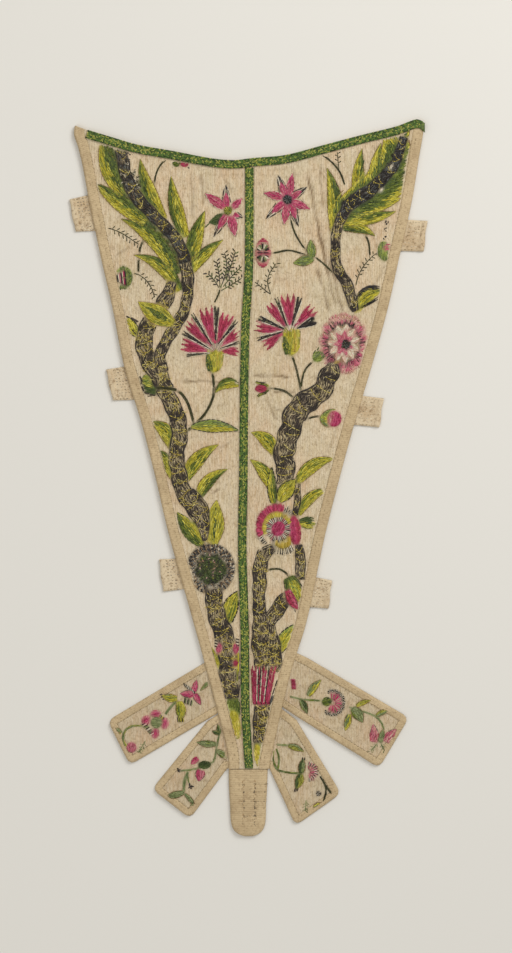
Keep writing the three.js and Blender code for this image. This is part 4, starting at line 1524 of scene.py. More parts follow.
@dataclass(frozen=True)
class LinenTape:
    """Plain woven linen, unbleached and creased: threads of both ways show as a fine check, in the bump and
    in a painted highlight on their crests.
    """

    name: str = "plain_weave_linen_tape"
    ground: str = "#D6C19E"
    shade: Mark = Mark("#BFA37B", 1.0, (0.42, 0.66), 75.0, 3.0)
    # Colour of the painted highlight on the crests of the woven threads.
    light: str = "#E6D8BE"
    fleck: Mark = Mark("#86694A", 0.85, (0.5, 0.7), 620.0, 3.0, 0.7)
    thread_pitch: float = 0.7

    def build(self) -> Material:
        """Make the material.

        Returns:
            The material.
        """
        look = Look(self.name, self.ground)
        look.scatter((self.shade,))
        check = look.summed(look.ribs(0, self.thread_pitch, 0.6), look.ribs(1, self.thread_pitch, 0.6))
        # Painted highlight: the crests of the threads are lightened, so the check shows.
        look.lay(check, 0.2, self.light)
        look.scatter((self.fleck,))
        look.emboss(check, 0.35, 0.2)
        return look.finished(0.85, 0.2)


@dataclass(frozen=True)
class DyedSilk:
    """Lightly twisted dyed silk floss and thread, with its soft shine."""

    name: str = "dyed_silk_floss"
    roughness: float = 0.5
    shine: float = 0.35

    def build(self) -> Material:
        """Make the material, which takes its colour from each thread."""
        look = Look(self.name, "#FFFFFF")
        look.tone = look.painted("thread")
        return look.finished(self.roughness, self.shine)


@dataclass(frozen=True)
class PaleTable:
    """A plain pale board, matt."""

    name: str = "matt_painted_board_pale"
    colour: str = "#E4E1DA"

    def build(self) -> Material:
        """Make the material."""
        return Look(self.name, self.colour).finished(0.9, 0.1)


# ------------------------------------------------------------------ cloth pieces
@dataclass
class Wardrobe:
    """The materials, made once."""

    silk: Material
    ribbon: Material
    core: Material
    tape: Material
    thread: Material

    @classmethod
    def stocked(cls) -> "Wardrobe":
        """Make every material of the garment."""
        return cls(
            RibbedSilk().build(), Grosgrain().build(), BraidCore().build(),
            LinenTape().build(), DyedSilk().build(),
        )


def sew_on(
    piece: Piece,
    nodes: Sequence[str],
    front: Material,
    back: Material | None = None,
) -> None:
    """Give a piece its materials and fix it to the garment's frame.

    Args:
        piece: The piece.
        nodes: CAD nodes that it stands for.
        front: Material of what shows.
        back: Material of the faces that look down, or none for the same.
    """
    piece.data.materials.append(front)
    if back:
        piece.data.materials.append(back)
        down = vectors(piece.data.polygons, "normal")[:, 2] < -0.5
        piece.data.polygons.foreach_set("material_index", down.astype(np.int32))
    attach(piece, "root")
    if nodes:
        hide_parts(*nodes)


@dataclass
class Front:
    """The two halves of the front, their side bindings and the braids."""

    lie: Lie
    wardrobe: Wardrobe
    shown_seam: float = 0.08
    binding_top: float = 188.0
    rolled_edge: float = 0.55
    braid_left: float = -86.8
    braid_reach: float = 182.0

    def half_place(self, side: int) -> Place:
        """Where the cloth of one half lies."""
        curve = CUT.edge(side)

        def place(u: Array, v: Array) -> Surface:
            """X, Y and top height at shares across and along."""
            share = u if side > 0 else 1 - u
            down = 1 - v
            x = np.where(side > 0, 40.0, -40.0) + np.zeros_like(u)
            y = np.zeros_like(u)
            for _ in range(9):
                top = CUT.neckline(x) - CUT.seam
                y = top - down * (top - CUT.point_y)
                inner = CUT.seam_line(y) + side * self.shown_seam / 2
                outer = curve(y) - side * CUT.across(curve, y, CUT.binding_width + self.shown_seam)
                x = inner + (outer - inner) * share
            return x, y, self.lie.front(x, y)

        return place

    def under(self, x: Array, y: Array) -> Array:
        """Underside of the front: lifted a little along the creases, so that they show from behind too."""
        deep, _ = self.lie.creases(x, y, CREASES)
        wave = 0.14 + 0.1 * np.sin(x * 0.13 + 1.0) * np.sin(y * 0.09) + 0.04 * np.sin(x * 0.5 + y * 0.3)
        return np.clip(wave + 0.5 * deep, 0.0, 0.6)

    def build_half(self, side: int) -> Piece:
        """Make one half of the front."""
        name = "panel_left" if side < 0 else "panel_right"
        piece = Cloth(f"{name}_silk", (84, 312), self.half_place(side), self.under, (85, 340)).build()
        # The front takes the painted shade along its creases.
        mark_cloth(piece, self.lie.relief, lambda x, y: self.lie.creases(x, y, CREASES)[1])
        sew_on(piece, [name], self.wardrobe.silk, self.wardrobe.tape)
        return piece

    def tuck_spans(self, side: int) -> list[tuple[float, float]]:
        """Levels where a tape or a tab lies under the binding."""
        spans = []
        for corners in PIN_TAPES.values():
            if (corners[0][0] < 0) == (side < 0):
                spans.append(
                    (min(corners[3][1], corners[1][1]) - 0.6, max(corners[2][1], corners[0][1]) + 0.6)
                )
        spans.append((CUT.point_y - 1, -96.6 if side < 0 else -91.8))
        return spans

    def build_binding(self, side: int) -> Piece:
        """Make the ribbon folded over one long edge."""
        curve = CUT.edge(side)
        spans = self.tuck_spans(side)

        def place(u: Array, v: Array) -> Surface:
            """X, Y and top height at shares across and along."""
            share = u if side < 0 else 1 - u
            share = 0.5 - 0.5 * np.cos(np.pi * share)
            y = CUT.point_y + (self.binding_top - CUT.point_y) * v
            for _ in range(9):
                x = curve(y) - side * CUT.across(curve, y, share * CUT.binding_width)
                top = CUT.neckline(x) - 0.35
                y = CUT.point_y + (top - CUT.point_y) * v
            out = share * CUT.binding_width
            bulge = 0.10 * np.sin(y * 0.33 + side) * np.sin(y * 0.071 + 1.0) + 0.05 * np.sin(y * 1.1)
            height = CUT.binding_height - 0.12 + bulge * np.sin(np.pi * share)
            if side > 0:
                height = np.where(CUT.neckline(x) - y < 6.4, CUT.wall, height)
            start = 0.25 + 1.2 * self.tucked(spans, y)
            z = start + (height - start) * (2 * smooth(out / 1.7 + 0.5) - 1)
            foot = CUT.wall + 0.04
            inner = CUT.binding_width - out
            z = np.where(inner < self.rolled_edge, foot + (z - foot) * smooth(inner / self.rolled_edge), z)
            return x, y, z

        def floor(x: Array, y: Array) -> Array:
            """Height of the underside."""
            return 0.02 + (CUT.tuck_height + 0.3) * self.tucked(spans, y)

        name = "binding_left" if side < 0 else "binding_right"
        piece = Cloth(f"{name}_ribbon", (14, 330), place, floor, (6, 352)).build()
        sew_on(piece, [name], self.wardrobe.ribbon)
        return piece

    @staticmethod
    def tucked(spans: Sequence[Row], y: Array) -> Array:
        """1 where a level lies inside one of the spans."""
        inside = np.zeros(np.shape(y))
        for low, high in spans:
            inside = np.maximum(inside, ((y >= low) & (y <= high)).astype(float))
        return inside

    def build_braid_top(self) -> Piece:
        """Make the core of the braid along the neckline."""

        def place(u: Array, v: Array) -> Surface:
            """X, Y and top height at shares across and along."""
            x = self.braid_left + self.braid_reach * u
            slope = np.clip(CUT.neckline(x + 0.5) - CUT.neckline(x - 0.5), -0.6, 0.6)
            drop = (CUT.braid_width - 0.3) * np.hypot(1, slope) * (1 - v) + 0.15
            y = CUT.neckline(x) - drop + 0.12 * np.sin(x * 0.7) * (1 - v)
            return x, y, CUT.wall + 0.3 + 0.55 * smooth(np.minimum(v, 1 - v) * 6 + 0.15) * np.ones_like(x)

        piece = Cloth(
            "braid_top_core", (190, 8), place, lambda x, y: np.full_like(x, CUT.wall + 0.12), (187, 5)
        ).build()
        sew_on(piece, ["braid_top"], self.wardrobe.core)
        return piece

    def build_braid_centre(self) -> Piece:
        """Make the core of the braid down the middle."""
        start, stop = float(CUT.neckline(0.5)) - 5.2, CUT.point_y + 0.3

        def place(u: Array, v: Array) -> Surface:
            """X, Y and top height at shares across and along."""
            y = stop + (start - stop) * v
            half = CUT.across(CUT.seam_line, y, CUT.braid_width / 2 - 0.15)
            x = CUT.seam_line(y) + (2 * u - 1) * half + 0.12 * np.sin(y * 0.6) * (2 * u - 1)
            return x, y, CUT.wall + 0.3 + 0.55 * smooth(np.minimum(u, 1 - u) * 6 + 0.15) * np.ones_like(x)

        piece = Cloth(
            "braid_centre_core", (8, 340), place, lambda x, y: np.full_like(x, CUT.wall + 0.12), (5, 325)
        ).build()
        sew_on(piece, ["braid_centre"], self.wardrobe.core)
        return piece


# Pin tapes: upper outer corner, lower outer corner, upper inner, lower inner.
PIN_TAPES: dict[str, tuple[Row, Row, Row, Row]] = {
    "pin_tab_left_1": ((-96.8, 150.6), (-93.4, 133.2), (-82.6, 153.8), (-79.4, 133.8)),
    "pin_tab_left_2": ((-77.0, 58.6), (-73.2, 42.0), (-62.6, 60.9), (-58.4, 42.4)),
    "pin_tab_left_3": ((-48.3, -44.0), (-46.0, -61.4), (-35.6, -43.6), (-31.2, -59.6)),
    "pin_tab_right_1": ((96.8, 139.0), (94.6, 122.4), (82.0, 139.8), (77.6, 123.0)),
    "pin_tab_right_2": ((73.2, 43.0), (70.7, 27.4), (56.8, 45.0), (52.4, 29.2)),
    "pin_tab_right_3": ((45.2, -55.5), (43.2, -70.6), (32.2, -52.8), (28.8, -69.4)),
}


@dataclass
class PinTape:
    """A short linen tape sewn under the binding, its outer end turned over."""

    name: str
    wardrobe: Wardrobe
    fold: float = 2.4

    @property
    def corners(self) -> Array:
        """The four corners as an array."""
        return np.array(PIN_TAPES[self.name], dtype=float)

    def point(self, s: Array, t: Array) -> tuple[Array, Array]:
        """Point at a share from the upper to the lower side and from the outer to the inner end."""
        upper_out, lower_out, upper_in, lower_in = self.corners
        a = [upper_out[k] + (upper_in[k] - upper_out[k]) * t for k in (0, 1)]
        b = [lower_out[k] + (lower_in[k] - lower_out[k]) * t for k in (0, 1)]
        bow = 0.35 * np.sin(np.pi * s * 2 + len(self.name)) * np.sin(np.pi * s) * np.clip(1 - t * 6, 0, 1)
        return a[0] + (b[0] - a[0]) * s + bow, a[1] + (b[1] - a[1]) * s

    @property
    def length(self) -> float:
        """Its length along the upper side."""
        return float(math.dist(self.corners[0], self.corners[2]))

    def height(self, t: Array, s: Array) -> Array:
        """Its top: raised over the turned end, thin under the binding, with a slack wave between."""
        turn = self.fold / self.length
        raised = smooth(t / turn * 2.5 + 0.3) * smooth((turn * 1.18 - t) / (turn * 0.25))
        wave = 0.10 * np.sin(t * 9 + len(self.name)) * np.sin(s * 5 + 1) * np.clip(1 - t * 1.6, 0, 1)
        return 0.72 + 0.72 * raised + wave + 0.1 * smooth(t * 3)

    def build(self) -> Piece:
        """Make the tape."""
        left = self.corners[0][0] < 0

        def place(u: Array, v: Array) -> Surface:
            """X, Y and top height at shares across and along."""
            t = u if left else 1 - u
            x, y = self.point(1 - v, t)
            rim = smooth(np.minimum(v, 1 - v) * 14 + 0.25)
            return x, y, 0.25 + (self.height(t, 1 - v) - 0.25) * rim

        wide = float(math.dist(self.corners[0], self.corners[1]))
        piece = Cloth(
            f"{self.name}_linen", (26, 30), place, lambda x, y: np.full_like(x, 0.03), (self.length, wide)
        ).build()
        sew_on(piece, [self.name], self.wardrobe.tape)
        cut = self.length + 2 * self.fold
        area = min(0.98 * cut * wide * MM * MM, Cloth.area(piece) * 1.1)
        return piece


# Lower tabs: both sides from root to end; a second point bends a side round its neighbour.
LOWER_TABS: dict[str, tuple[Sequence[Row], Sequence[Row]]] = {
    "tab_outer_left": (((-19.6, -97.4), (-76.2, -131.2)), ((-12.0, -124.7), (-64.2, -155.2))),
    "tab_inner_left": (
        ((-11.9, -125.2), (-22.3, -131.4), (-52.2, -168.2)),
        ((-6.3, -156.7), (-11.5, -157.0), (-31.6, -184.2)),
    ),
    "tab_inner_right": (
        ((14.4, -121.8), (25.9, -130.8), (50.0, -170.6)),
        ((6.3, -156.7), (11.3, -157.0), (25.4, -188.0)),
    ),
    "tab_outer_right": (
        ((23.6, -92.6), (32.0, -97.4), (86.8, -129.6)),
        ((14.6, -121.0), (27.0, -129.6), (70.6, -156.8)),
    ),
}
BEND_SHARE = 0.2


def heading(a: Row, b: Row) -> Array:
    """Unit vector from one point to another."""
    way = np.array(b, dtype=float) - np.array(a, dtype=float)
    return way / np.hypot(*way)


def meet(p: Array, d: Array, q: Array, e: Array) -> Array:
    """Where two lines, each a point and a direction, cross."""
    det = d[0] * e[1] - d[1] * e[0]
    t = ((q[0] - p[0]) * e[1] - (q[1] - p[1]) * e[0]) / det
    return p + d * t


@dataclass
class LowerTab:
    """One of the four worked tabs below the waist: silk, and a ribbon folded round it."""

    name: str
    lie: Lie
    wardrobe: Wardrobe

    def sides(self) -> tuple[list[Array], list[Array]]:
        """Both sides, their roots brought to the depth of the tuck."""
        made = []
        for points in LOWER_TABS[self.name]:
            side = 1 if points[0][0] > 0 else -1
            y = float(points[0][1])
            curve = CUT.edge(side)
            x = float(curve(y) - side * CUT.across(curve, y, CUT.tuck_depth))
            made.append([np.array([x, y]), *[np.array(p, dtype=float) for p in points[1:]]])
        return made[0], made[1]

    def outline(self, inset: float) -> list[Array]:
        """The outline from root to root, moved in by a distance."""
        first, second = self.sides()
        points = [*first, *reversed(second)]
        turn = np.sign(sum(a[0] * b[1] - b[0] * a[1] for a, b in zip(points, [*points[1:], points[0]])))
        lines = []
        for a, b in zip(points, points[1:]):
            d = heading(a, b)
            lines.append((a + np.array([-d[1], d[0]]) * turn * inset, d))
        root = heading(first[0], second[0])
        moved = [meet(*lines[0], first[0], root)]
        moved += [meet(*before, *after) for before, after in zip(lines, lines[1:])]
        moved.append(meet(*lines[-1], first[0], root))
        return moved

    def along(self, side: Sequence[Array], share: Array) -> Array:
        """Points at shares of a side of two or three points."""
        if len(side) == 2:
            return side[0] + (side[1] - side[0]) * share[:, None]
        near = side[0] + (side[1] - side[0]) * (share / BEND_SHARE)[:, None]
        far = side[1] + (side[2] - side[1]) * ((share - BEND_SHARE) / (1 - BEND_SHARE))[:, None]
        return np.where((share <= BEND_SHARE)[:, None], near, far)

    def silk_place(self, u: Array, v: Array) -> Surface:
        """Where the tab's silk lies; v runs from the end to the root."""
        outline = self.outline(CUT.tab_ribbon_width + 0.08)
        bends = len(self.sides()[0])
        first, second = outline[:bends], list(reversed(outline[bends:]))
        share = 1 - v
        a, b = self.along(first, share), self.along(second, share)
        left = self.name.endswith("left")
        across = u if left else 1 - u
        spot = a + (b - a) * across[:, None]
        return spot[:, 0], spot[:, 1], self.lie.tab(spot[:, 0], spot[:, 1])

    def build_silk(self) -> Piece:
        """Make the silk of the tab."""

        def under(x: Array, y: Array) -> Array:
            """Height of the underside."""
            deep, _ = self.lie.creases(x, y, TAB_CREASES)
            return np.clip(0.1 + 0.08 * np.sin(x * 0.3) * np.sin(y * 0.24) + 0.5 * deep, 0, 0.4)

        piece = Cloth(f"{self.name}_silk", (34, 72), self.silk_place, under, (30, 60)).build()
        # The tab takes the painted shade along its creases, never below 0.16, which tones all its silk evenly
        # darker.
        mark_cloth(
            piece, self.lie.relief, lambda x, y: np.maximum(self.lie.creases(x, y, TAB_CREASES)[1], 0.16)
        )
        sew_on(piece, [self.name], self.wardrobe.silk, self.wardrobe.tape)
        return piece

    def rounded(self) -> tuple[Array, Array]:
        """Matching outer and inner lines of the ribbon, its two outer corners rounded."""
        outer, inner = self.outline(0.0), self.outline(CUT.tab_ribbon_width)
        end = len(self.sides()[0]) - 1
        out_line, in_line = [], []
        for i in range(len(outer) - 1):
            length = math.dist(outer[i], outer[i + 1])
            cut = 4.6 / length
            low = cut if i in (end, end + 1) else 0.0
            high = 1 - cut if i + 1 in (end, end + 1) else 1.0
            steps = max(2, round(length / 1.3))
            for k in range(0 if i == 0 or low else 1, steps + 1):
                t = low + (high - low) * k / steps
                out_line.append(outer[i] + (outer[i + 1] - outer[i]) * t)
                in_line.append(inner[i] + (inner[i + 1] - inner[i]) * t)
            if i + 1 in (end, end + 1):
                back, on = heading(outer[i + 1], outer[i]), heading(outer[i + 1], outer[i + 2])
                for k in range(7):
                    t = k / 6
                    start, stop = outer[i + 1] + back * 4.0, outer[i + 1] + on * 4.0
                    out_line.append((1 - t) ** 2 * start + 2 * t * (1 - t) * outer[i + 1] + t * t * stop)
                    in_line.append(inner[i + 1] + (back if t < 0.5 else on) * abs(t - 0.5) * 0.5)
        return np.array(out_line), np.array(in_line)

    def build_ribbon(self) -> Piece:
        """Make the ribbon folded over the tab's sides and end."""
        out_line, in_line = self.rounded()
        gaps = np.hypot(*np.diff((out_line + in_line) / 2, axis=0).T)
        run = np.concatenate([[0], np.cumsum(gaps)])

        def place(u: Array, v: Array) -> Surface:
            """X, Y and top height at shares across and along."""
            where = v * run[-1]
            a = np.stack([np.interp(where, run, out_line[:, k]) for k in (0, 1)], axis=1)
            b = np.stack([np.interp(where, run, in_line[:, k]) for k in (0, 1)], axis=1)
            left = self.name.endswith("left")
            share = 0.5 - 0.5 * np.cos(np.pi * (u if left else 1 - u))
            spot = a + (b - a) * share[:, None]
            x, y = spot[:, 0], spot[:, 1]
            out = share * CUT.tab_ribbon_width
            free = smooth((CUT.outside(x, y) - 1.0) / 3.5)
            pucker = 0.07 * np.sin(where * 0.9) * np.sin(where * 0.23 + 1) + 0.04 * np.sin(where * 2.1)
            raised = CUT.tab_ribbon_height - 0.12 + pucker * np.sin(np.pi * share)
            full = CUT.tuck_height + free * (raised - CUT.tuck_height)
            z = 0.2 + (full - 0.2) * (2 * smooth(out / 1.5 + 0.5) - 1)
            foot = CUT.tuck_height + free * (CUT.tab_wall - CUT.tuck_height) + 0.03
            inner = CUT.tab_ribbon_width - out
            z = np.where(inner < 0.5, foot + (z - foot) * smooth(inner / 0.5), z)
            return x, y, z

        cells = (10, int(run[-1] / 1.15))
        piece = Cloth(
            f"{self.name}_ribbon", cells, place, lambda x, y: np.full_like(x, 0.02), (4.5, run[-1])
        ).build()
        sew_on(piece, [f"{self.name}_binding"], self.wardrobe.ribbon)
        return piece

    def build(self) -> None:
        """Make the tab."""
        silk = self.build_silk()
        ribbon = self.build_ribbon()
        first, second = self.sides()
        wide = max(math.dist(first[-1], second[-1]), math.dist(first[0], second[0])) * MM
        long = max(math.dist(first[0], first[-1]), math.dist(second[0], second[-1])) * MM
        sheet_area(silk, wide, long)


def sheet_area(piece: Piece, wide: float, long: float) -> float:
    """Flat area of a cut, kept between its share of the rectangle that it is cut from."""
    return min(max(Cloth.area(piece), 0.31 * wide * long), 0.99 * wide * long)


@dataclass
class CentreTab:
    """The plain tab at the point: ribbon folded double and sewn down in two lines."""

    wardrobe: Wardrobe
    left: Profile = Profile(
        [
            (-193.7, -2.0), (-192.8, -4.8), (-191, -7.4), (-188, -9.0), (-184, -9.7), (-177, -10.0),
            (-170, -10.4), (-163, -10.7), (-157.3, -10.6),
        ]
    )
    right: Profile = Profile(
        [
            (-193.7, 2.0), (-192.8, 4.6), (-191, 7.2), (-188, 8.7), (-184, 9.3), (-177, 9.5), (-170, 9.9),
            (-163, 10.2), (-157.3, 10.4),
        ]
    )
    foot: float = -193.7
    reach: float = 36.3
    flat: tuple[float, float] = (0.0212, 0.0364)
    lines: tuple[float, float] = (-3.0, 3.5)
    folds: tuple[float, ...] = (-162.4, -166.0, -169.9, -174.3, -178.1, -182.5)

    def height(self, x: Array, y: Array) -> Array:
        """Its padded top, drawn down along the sewing."""
        rim = np.minimum(np.minimum(x - self.left(y), self.right(y) - x), y - self.foot)
        cushion = 0.35 * smooth(rim / 3)
        seams = np.maximum(*[smooth(1 - np.abs(x - line) / 1.6) for line in self.lines])
        slack = 0.06 * np.sin(x * 0.8 + y * 0.2) * np.sin(y * 0.31)
        folds = sum(
            smooth(1 - np.abs(y - level - 0.4 * np.sin(x * 0.7 + level)) / 1.1) for level in self.folds
        )
        top = CUT.centre_tab_height - 0.35 + cushion - 0.22 * seams - 0.2 * folds + slack
        return 0.3 + (top - 0.3) * (2 * smooth(np.clip(rim, 0, 9) / 1.6 + 0.5) - 1)

    def build(self) -> Piece:
        """Make the tab."""

        def place(u: Array, v: Array) -> Surface:
            """X, Y and top height at shares across and along."""
            y = self.foot + self.reach * v**1.15
            x = self.left(y) + (self.right(y) - self.left(y)) * u
            return x, y, self.height(x, y)

        piece = Cloth(
            "tab_centre_ribbon", (34, 56), place, lambda x, y: np.full_like(x, 0.02), (20, 36)
        ).build()
        sew_on(piece, ["tab_centre"], self.wardrobe.ribbon)
        sheet_area(piece, *self.flat)
        return piece


# ------------------------------------------------------------------ braid, sewing and darning threads
SEWING_THREAD = (Shade.SEWING,)
BUFF_THREAD = (Shade.TAN, Shade.BARK)


@dataclass
class Threads:
    """Threads that aren't embroidery: the plaits of the braid and the sewing."""

    seed: int = 7

    def plait(
        self, centre: Callable[[float], tuple[float, float, float, float]], run: Row, name: str, bright: float
    ) -> Stitches:
        """Lay the slanting threads of a flat plait.

        Args:
            centre: Turns a distance into X, Y and the direction along the braid.
            run: First and last distance.
            name: The piece's name.
            bright: Share of light threads.

        Returns:
            The threads.
        """
        work = Stitches(name, self.seed, None)
        half = CUT.braid_width / 2 - 0.15
        pitch = 0.8
        lanes = (-0.86, -0.58, -0.29, 0.0, 0.29, 0.58, 0.86)
        count = int(abs(run[1] - run[0]) / pitch)
        for k in range(count):
            for lane, share in enumerate(lanes):
                s = run[0] + math.copysign((k + 0.5 * (lane % 2)) * pitch, run[1] - run[0])
                x, y, dx, dy = centre(s)
                nx, ny = -dy, dx
                slant = 1 if lane % 2 == 0 else -1
                cx, cy = x + nx * share * half, y + ny * share * half
                reach, tilt = 0.52, 0.36 * slant
                ax, ay = cx - dx * reach - nx * tilt, cy - dy * reach - ny * tilt
                bx, by = cx + dx * reach + nx * tilt, cy + dy * reach + ny * tilt
                middle = lane == 3
                gold = work.rng.random() < bright * (1.5 if middle else 0.75)
                shades = (Shade.BRAID_GOLD,) if gold else (
                    Shade.BRAID_GREEN, Shade.BRAID_GREEN, Shade.BRAID_DARK
                )
                if lane in (0, 6) and work.rng.random() < 0.4:
                    shades = (Shade.BRAID_DARK, Shade.BRAID_GREEN)
                work.lay((ax, ay), (bx, by), 0.68, shades, 0.0, 0.02 + 0.07 * ((k + lane) % 2))
        return work

    def braid_centre(self) -> Stitches:
        """Threads of the braid down the middle."""
        start, stop = float(CUT.neckline(0.5)) - 5.4, CUT.point_y + 0.8

        def centre(s: float) -> tuple[float, float, float, float]:
            """Point on the braid and the direction of the braid there, at a distance."""
            slope = float(CUT.seam_line(s + 0.5) - CUT.seam_line(s - 0.5))
            size = math.hypot(slope, 1)
            return float(CUT.seam_line(s)), s, -slope / size, -1 / size

        return self.plait(centre, (start, stop), "braid_centre_threads", 0.4)

    def braid_top(self) -> Stitches:
        """Threads of the braid along the neckline."""

        def centre(s: float) -> tuple[float, float, float, float]:
            """Point on the braid and the direction of the braid there, at a distance."""
            slope = float(CUT.neckline(s + 0.5) - CUT.neckline(s - 0.5))
            size = math.hypot(slope, 1)
            down = CUT.braid_width / 2
            x, y = s + slope / size * down, float(CUT.neckline(s)) - down / size
            return x, y, 1 / size, slope / size

        return self.plait(centre, (-86.3, 94.6), "braid_top_threads", 0.34)

    def bindings(self) -> Stitches:
        """Sewing along the inner edges of the long bindings."""
        work = Stitches("sewing_bindings", self.seed + 1, None)
        for side in (-1, 1):
            curve = CUT.edge(side)
            y = -154.0
            while y < 182:
                x = float(curve(y) - side * CUT.across(curve, np.array(y), CUT.binding_width))
                if float(CUT.neckline(x)) - y < 6:
                    break
                rise = work.rng.uniform(0.3, 0.9)
                work.lay((x + side * 0.6, y + rise), (x - side * 0.35, y - 0.1), 0.28, SEWING_THREAD, 0.0)
                work.lay((x + side * 2.3, y + 1.5), (x + side * 2.3, y + 0.1), 0.24, SEWING_THREAD, 0.0)
                y += work.rng.uniform(1.7, 2.5)
        return work

    def tabs(self, tabs: Sequence[LowerTab]) -> Stitches:
        """Sewing along the ribbons of the lower tabs and down the centre tab."""
        work = Stitches("sewing_tabs", self.seed + 2, None)
        for tab in tabs:
            out_line, in_line = tab.rounded()
            path = traced_path(in_line[::2], 0.5)
            outer = traced_path(out_line[::2], 0.5)
            for k in range(4, len(path) - 4, 4):
                if CUT.outside(path[k, 0], path[k, 1]) < 0.4:
                    continue
                share = min(int(k / len(path) * len(outer)), len(outer) - 1)
                way = outer[share, :2] - path[k, :2]
                way /= max(float(np.hypot(*way)), 1e-6)
                for step in (0.0, 1.5):
                    start = path[k, :2] + way * step
                    stop = path[min(k + 2, len(path) - 1), :2] + way * step
                    work.lay(start, stop, 0.26, SEWING_THREAD, 0.0)
        for line, wander in ((-2.6, 0.3), (-3.0, 0.5), (3.2, 0.3), (3.6, 0.5), (-1.2, 1.1), (1.4, 1.0)):
            y = -162.0 - 3 * abs(wander)
            while y > -188:
                x = line + work.rng.uniform(-wander, wander)
                reach = work.rng.uniform(0.7, 1.6)
                end = (x + work.rng.uniform(-0.5, 0.5), y - reach)
                work.lay((x, y), end, 0.42, BUFF_THREAD, 0.0, 0.02)
                y -= reach + work.rng.uniform(0.1, 0.8) * (1 + wander)
        for y, first, last in (
            (-165.2, 3.2, 9.4), (-169.6, -1.0, 9.2), (-174.6, -5.6, 8.4), (-178.4, 3.0, 8.8),
            (-182.6, -2.8, 3.4), (-186.4, -7.4, 5.5),
        ):
            x = first
            while x < last:
                end = (x + 1.3, y + work.rng.uniform(-0.3, 0.3))
                work.lay((x, y), end, 0.4, BUFF_THREAD, 0.0, 0.02)
                x += work.rng.uniform(1.2, 1.9)
        return work

    def tapes(self, tapes: Sequence[PinTape]) -> Stitches:
        """Running stitches that darn the pin tapes together."""
        work = Stitches("sewing_tapes", self.seed + 3, None)
        for tape in tapes:
            left = tape.corners[0][0] < 0
            rows = 11 if left else 9
            for row in range(rows):
                s = (row + 0.6) / rows
                t = 0.22 + work.rng.uniform(0, 0.05)
                while t < 0.62:
                    reach = 1.0 / tape.length
                    x0, y0 = tape.point(np.array(s), np.array(t))
                    x1, y1 = tape.point(np.array(s + work.rng.uniform(-0.012, 0.012)), np.array(t + reach))
                    shades = (Shade.GREY_SEWING if left else Shade.CREAM, Shade.CREAM, Shade.SEWING)
                    work.lay((float(x0), float(y0)), (float(x1), float(y1)), 0.46, shades, 0.0, 0.02)
                    t += reach * work.rng.uniform(1.4, 2.0)
        return work


# ------------------------------------------------------------------ the embroidery, area by area, in mm
LIME = (Shade.YELLOW_GREEN, Shade.YELLOW_GREEN, Shade.OLIVE)
LEAFY = (Shade.LEAF_GREEN, Shade.LEAF_GREEN, Shade.DARK_GREEN)
DARK = (Shade.DARK_GREEN,)
PALE = (Shade.PALE_GREEN, Shade.SAGE)
MOSS = (Shade.OLIVE, Shade.COUCHING)
INK = (Shade.BLACK, Shade.BARK_DARK)
IVORY = (Shade.CREAM,)
RED = (Shade.CRIMSON,)
ROSE = (Shade.MAGENTA,)
PINK = (Shade.PINK, Shade.MAGENTA)
BLUSH = (Shade.PEACH, Shade.PINK)
EARTH = (Shade.TAN,)
SLATE = (Shade.SLATE,)
TWIG = (Shade.STEM,)
CHECK = (INK, IVORY)
SPRING = (Shade.YELLOW_GREEN, Shade.LEAF_GREEN)
SEPAL = (Shade.STEM, Shade.OLIVE)
STRAW = (Shade.YELLOW,)
PEACH = (Shade.PEACH,)
OLIVE = (Shade.OLIVE,)
SUNNED = (Shade.PEACH, Shade.TAN)
MILK = (Shade.CREAM, Shade.PEACH)
FRESH = (Shade.YELLOW_GREEN, Shade.PALE_GREEN)
MISTY = (Shade.YELLOW_GREEN, Shade.SAGE)
PETAL = (Shade.CRIMSON, Shade.CRIMSON, Shade.MAGENTA)
GILT = (Shade.YELLOW_GREEN, Shade.YELLOW_GREEN, Shade.COUCHING)


def leaves(work: Stitches, rows: Sequence[Sequence[object]]) -> None:
    """Work leaves from a table: base, tip, bow, halves, left shades, right shades, and any settings.

    Args:
        work: The area.
        rows: The table.
    """
    for base, tip, bow, halves, left, right, *rest in rows:
        settings = rest[0] if rest else {}
        work.leaf(base, tip, bow, halves, (left, right), **settings)


def carnation(
    work: Stitches, petals: Sequence[tuple[Row, Row, float, float]],
    slivers: Sequence[tuple[Row, Row, float]],
) -> None:
    """Work the petals of a carnation, toothed and edged in white, and dark slivers over the gaps.

    Args:
        work: The area.
        petals: Foot, tip, half width at the tip and bow of each petal.
        slivers: Foot, tip and half width of the dark parts between them.
    """
    for base, tip, half, bow in petals:
        work.fan(base, tip, (1.2, half), PETAL, RED, 3, 0.32, bow, 0.55, RED)
        for way in (-1, 1):
            a, b = beside(base, tip, 0.08, way * 1.4), beside(base, tip, 0.84, way * (half + 0.1))
            work.strokes([(*a, *b)], 0.42, IVORY, 0.62)
    for base, tip, half in slivers:
        work.fan(base, tip, (0.3, half * 1.35), INK, IVORY, 2, 0.22, 0, 0.68)
        a, b = beside(base, tip, 0.45, half * 0.2), beside(base, tip, 0.96, half * 0.3)
        work.strokes([(*a, *b)], 0.34, (Shade.STEM, Shade.SAGE), 0.7)


def beside(base: Row, tip: Row, share: float, away: float) -> Spot:
    """Point at a share of the way from one point to another, and away to its left.

    Args:
        base: The first point.
        tip: The second point.
        share: Share of the way.
        away: Distance to the left in mm.

    Returns:
        The point.
    """
    dx, dy = tip[0] - base[0], tip[1] - base[1]
    size = math.hypot(dx, dy)
    return base[0] + dx * share - dy / size * away, base[1] + dy * share + dx / size * away


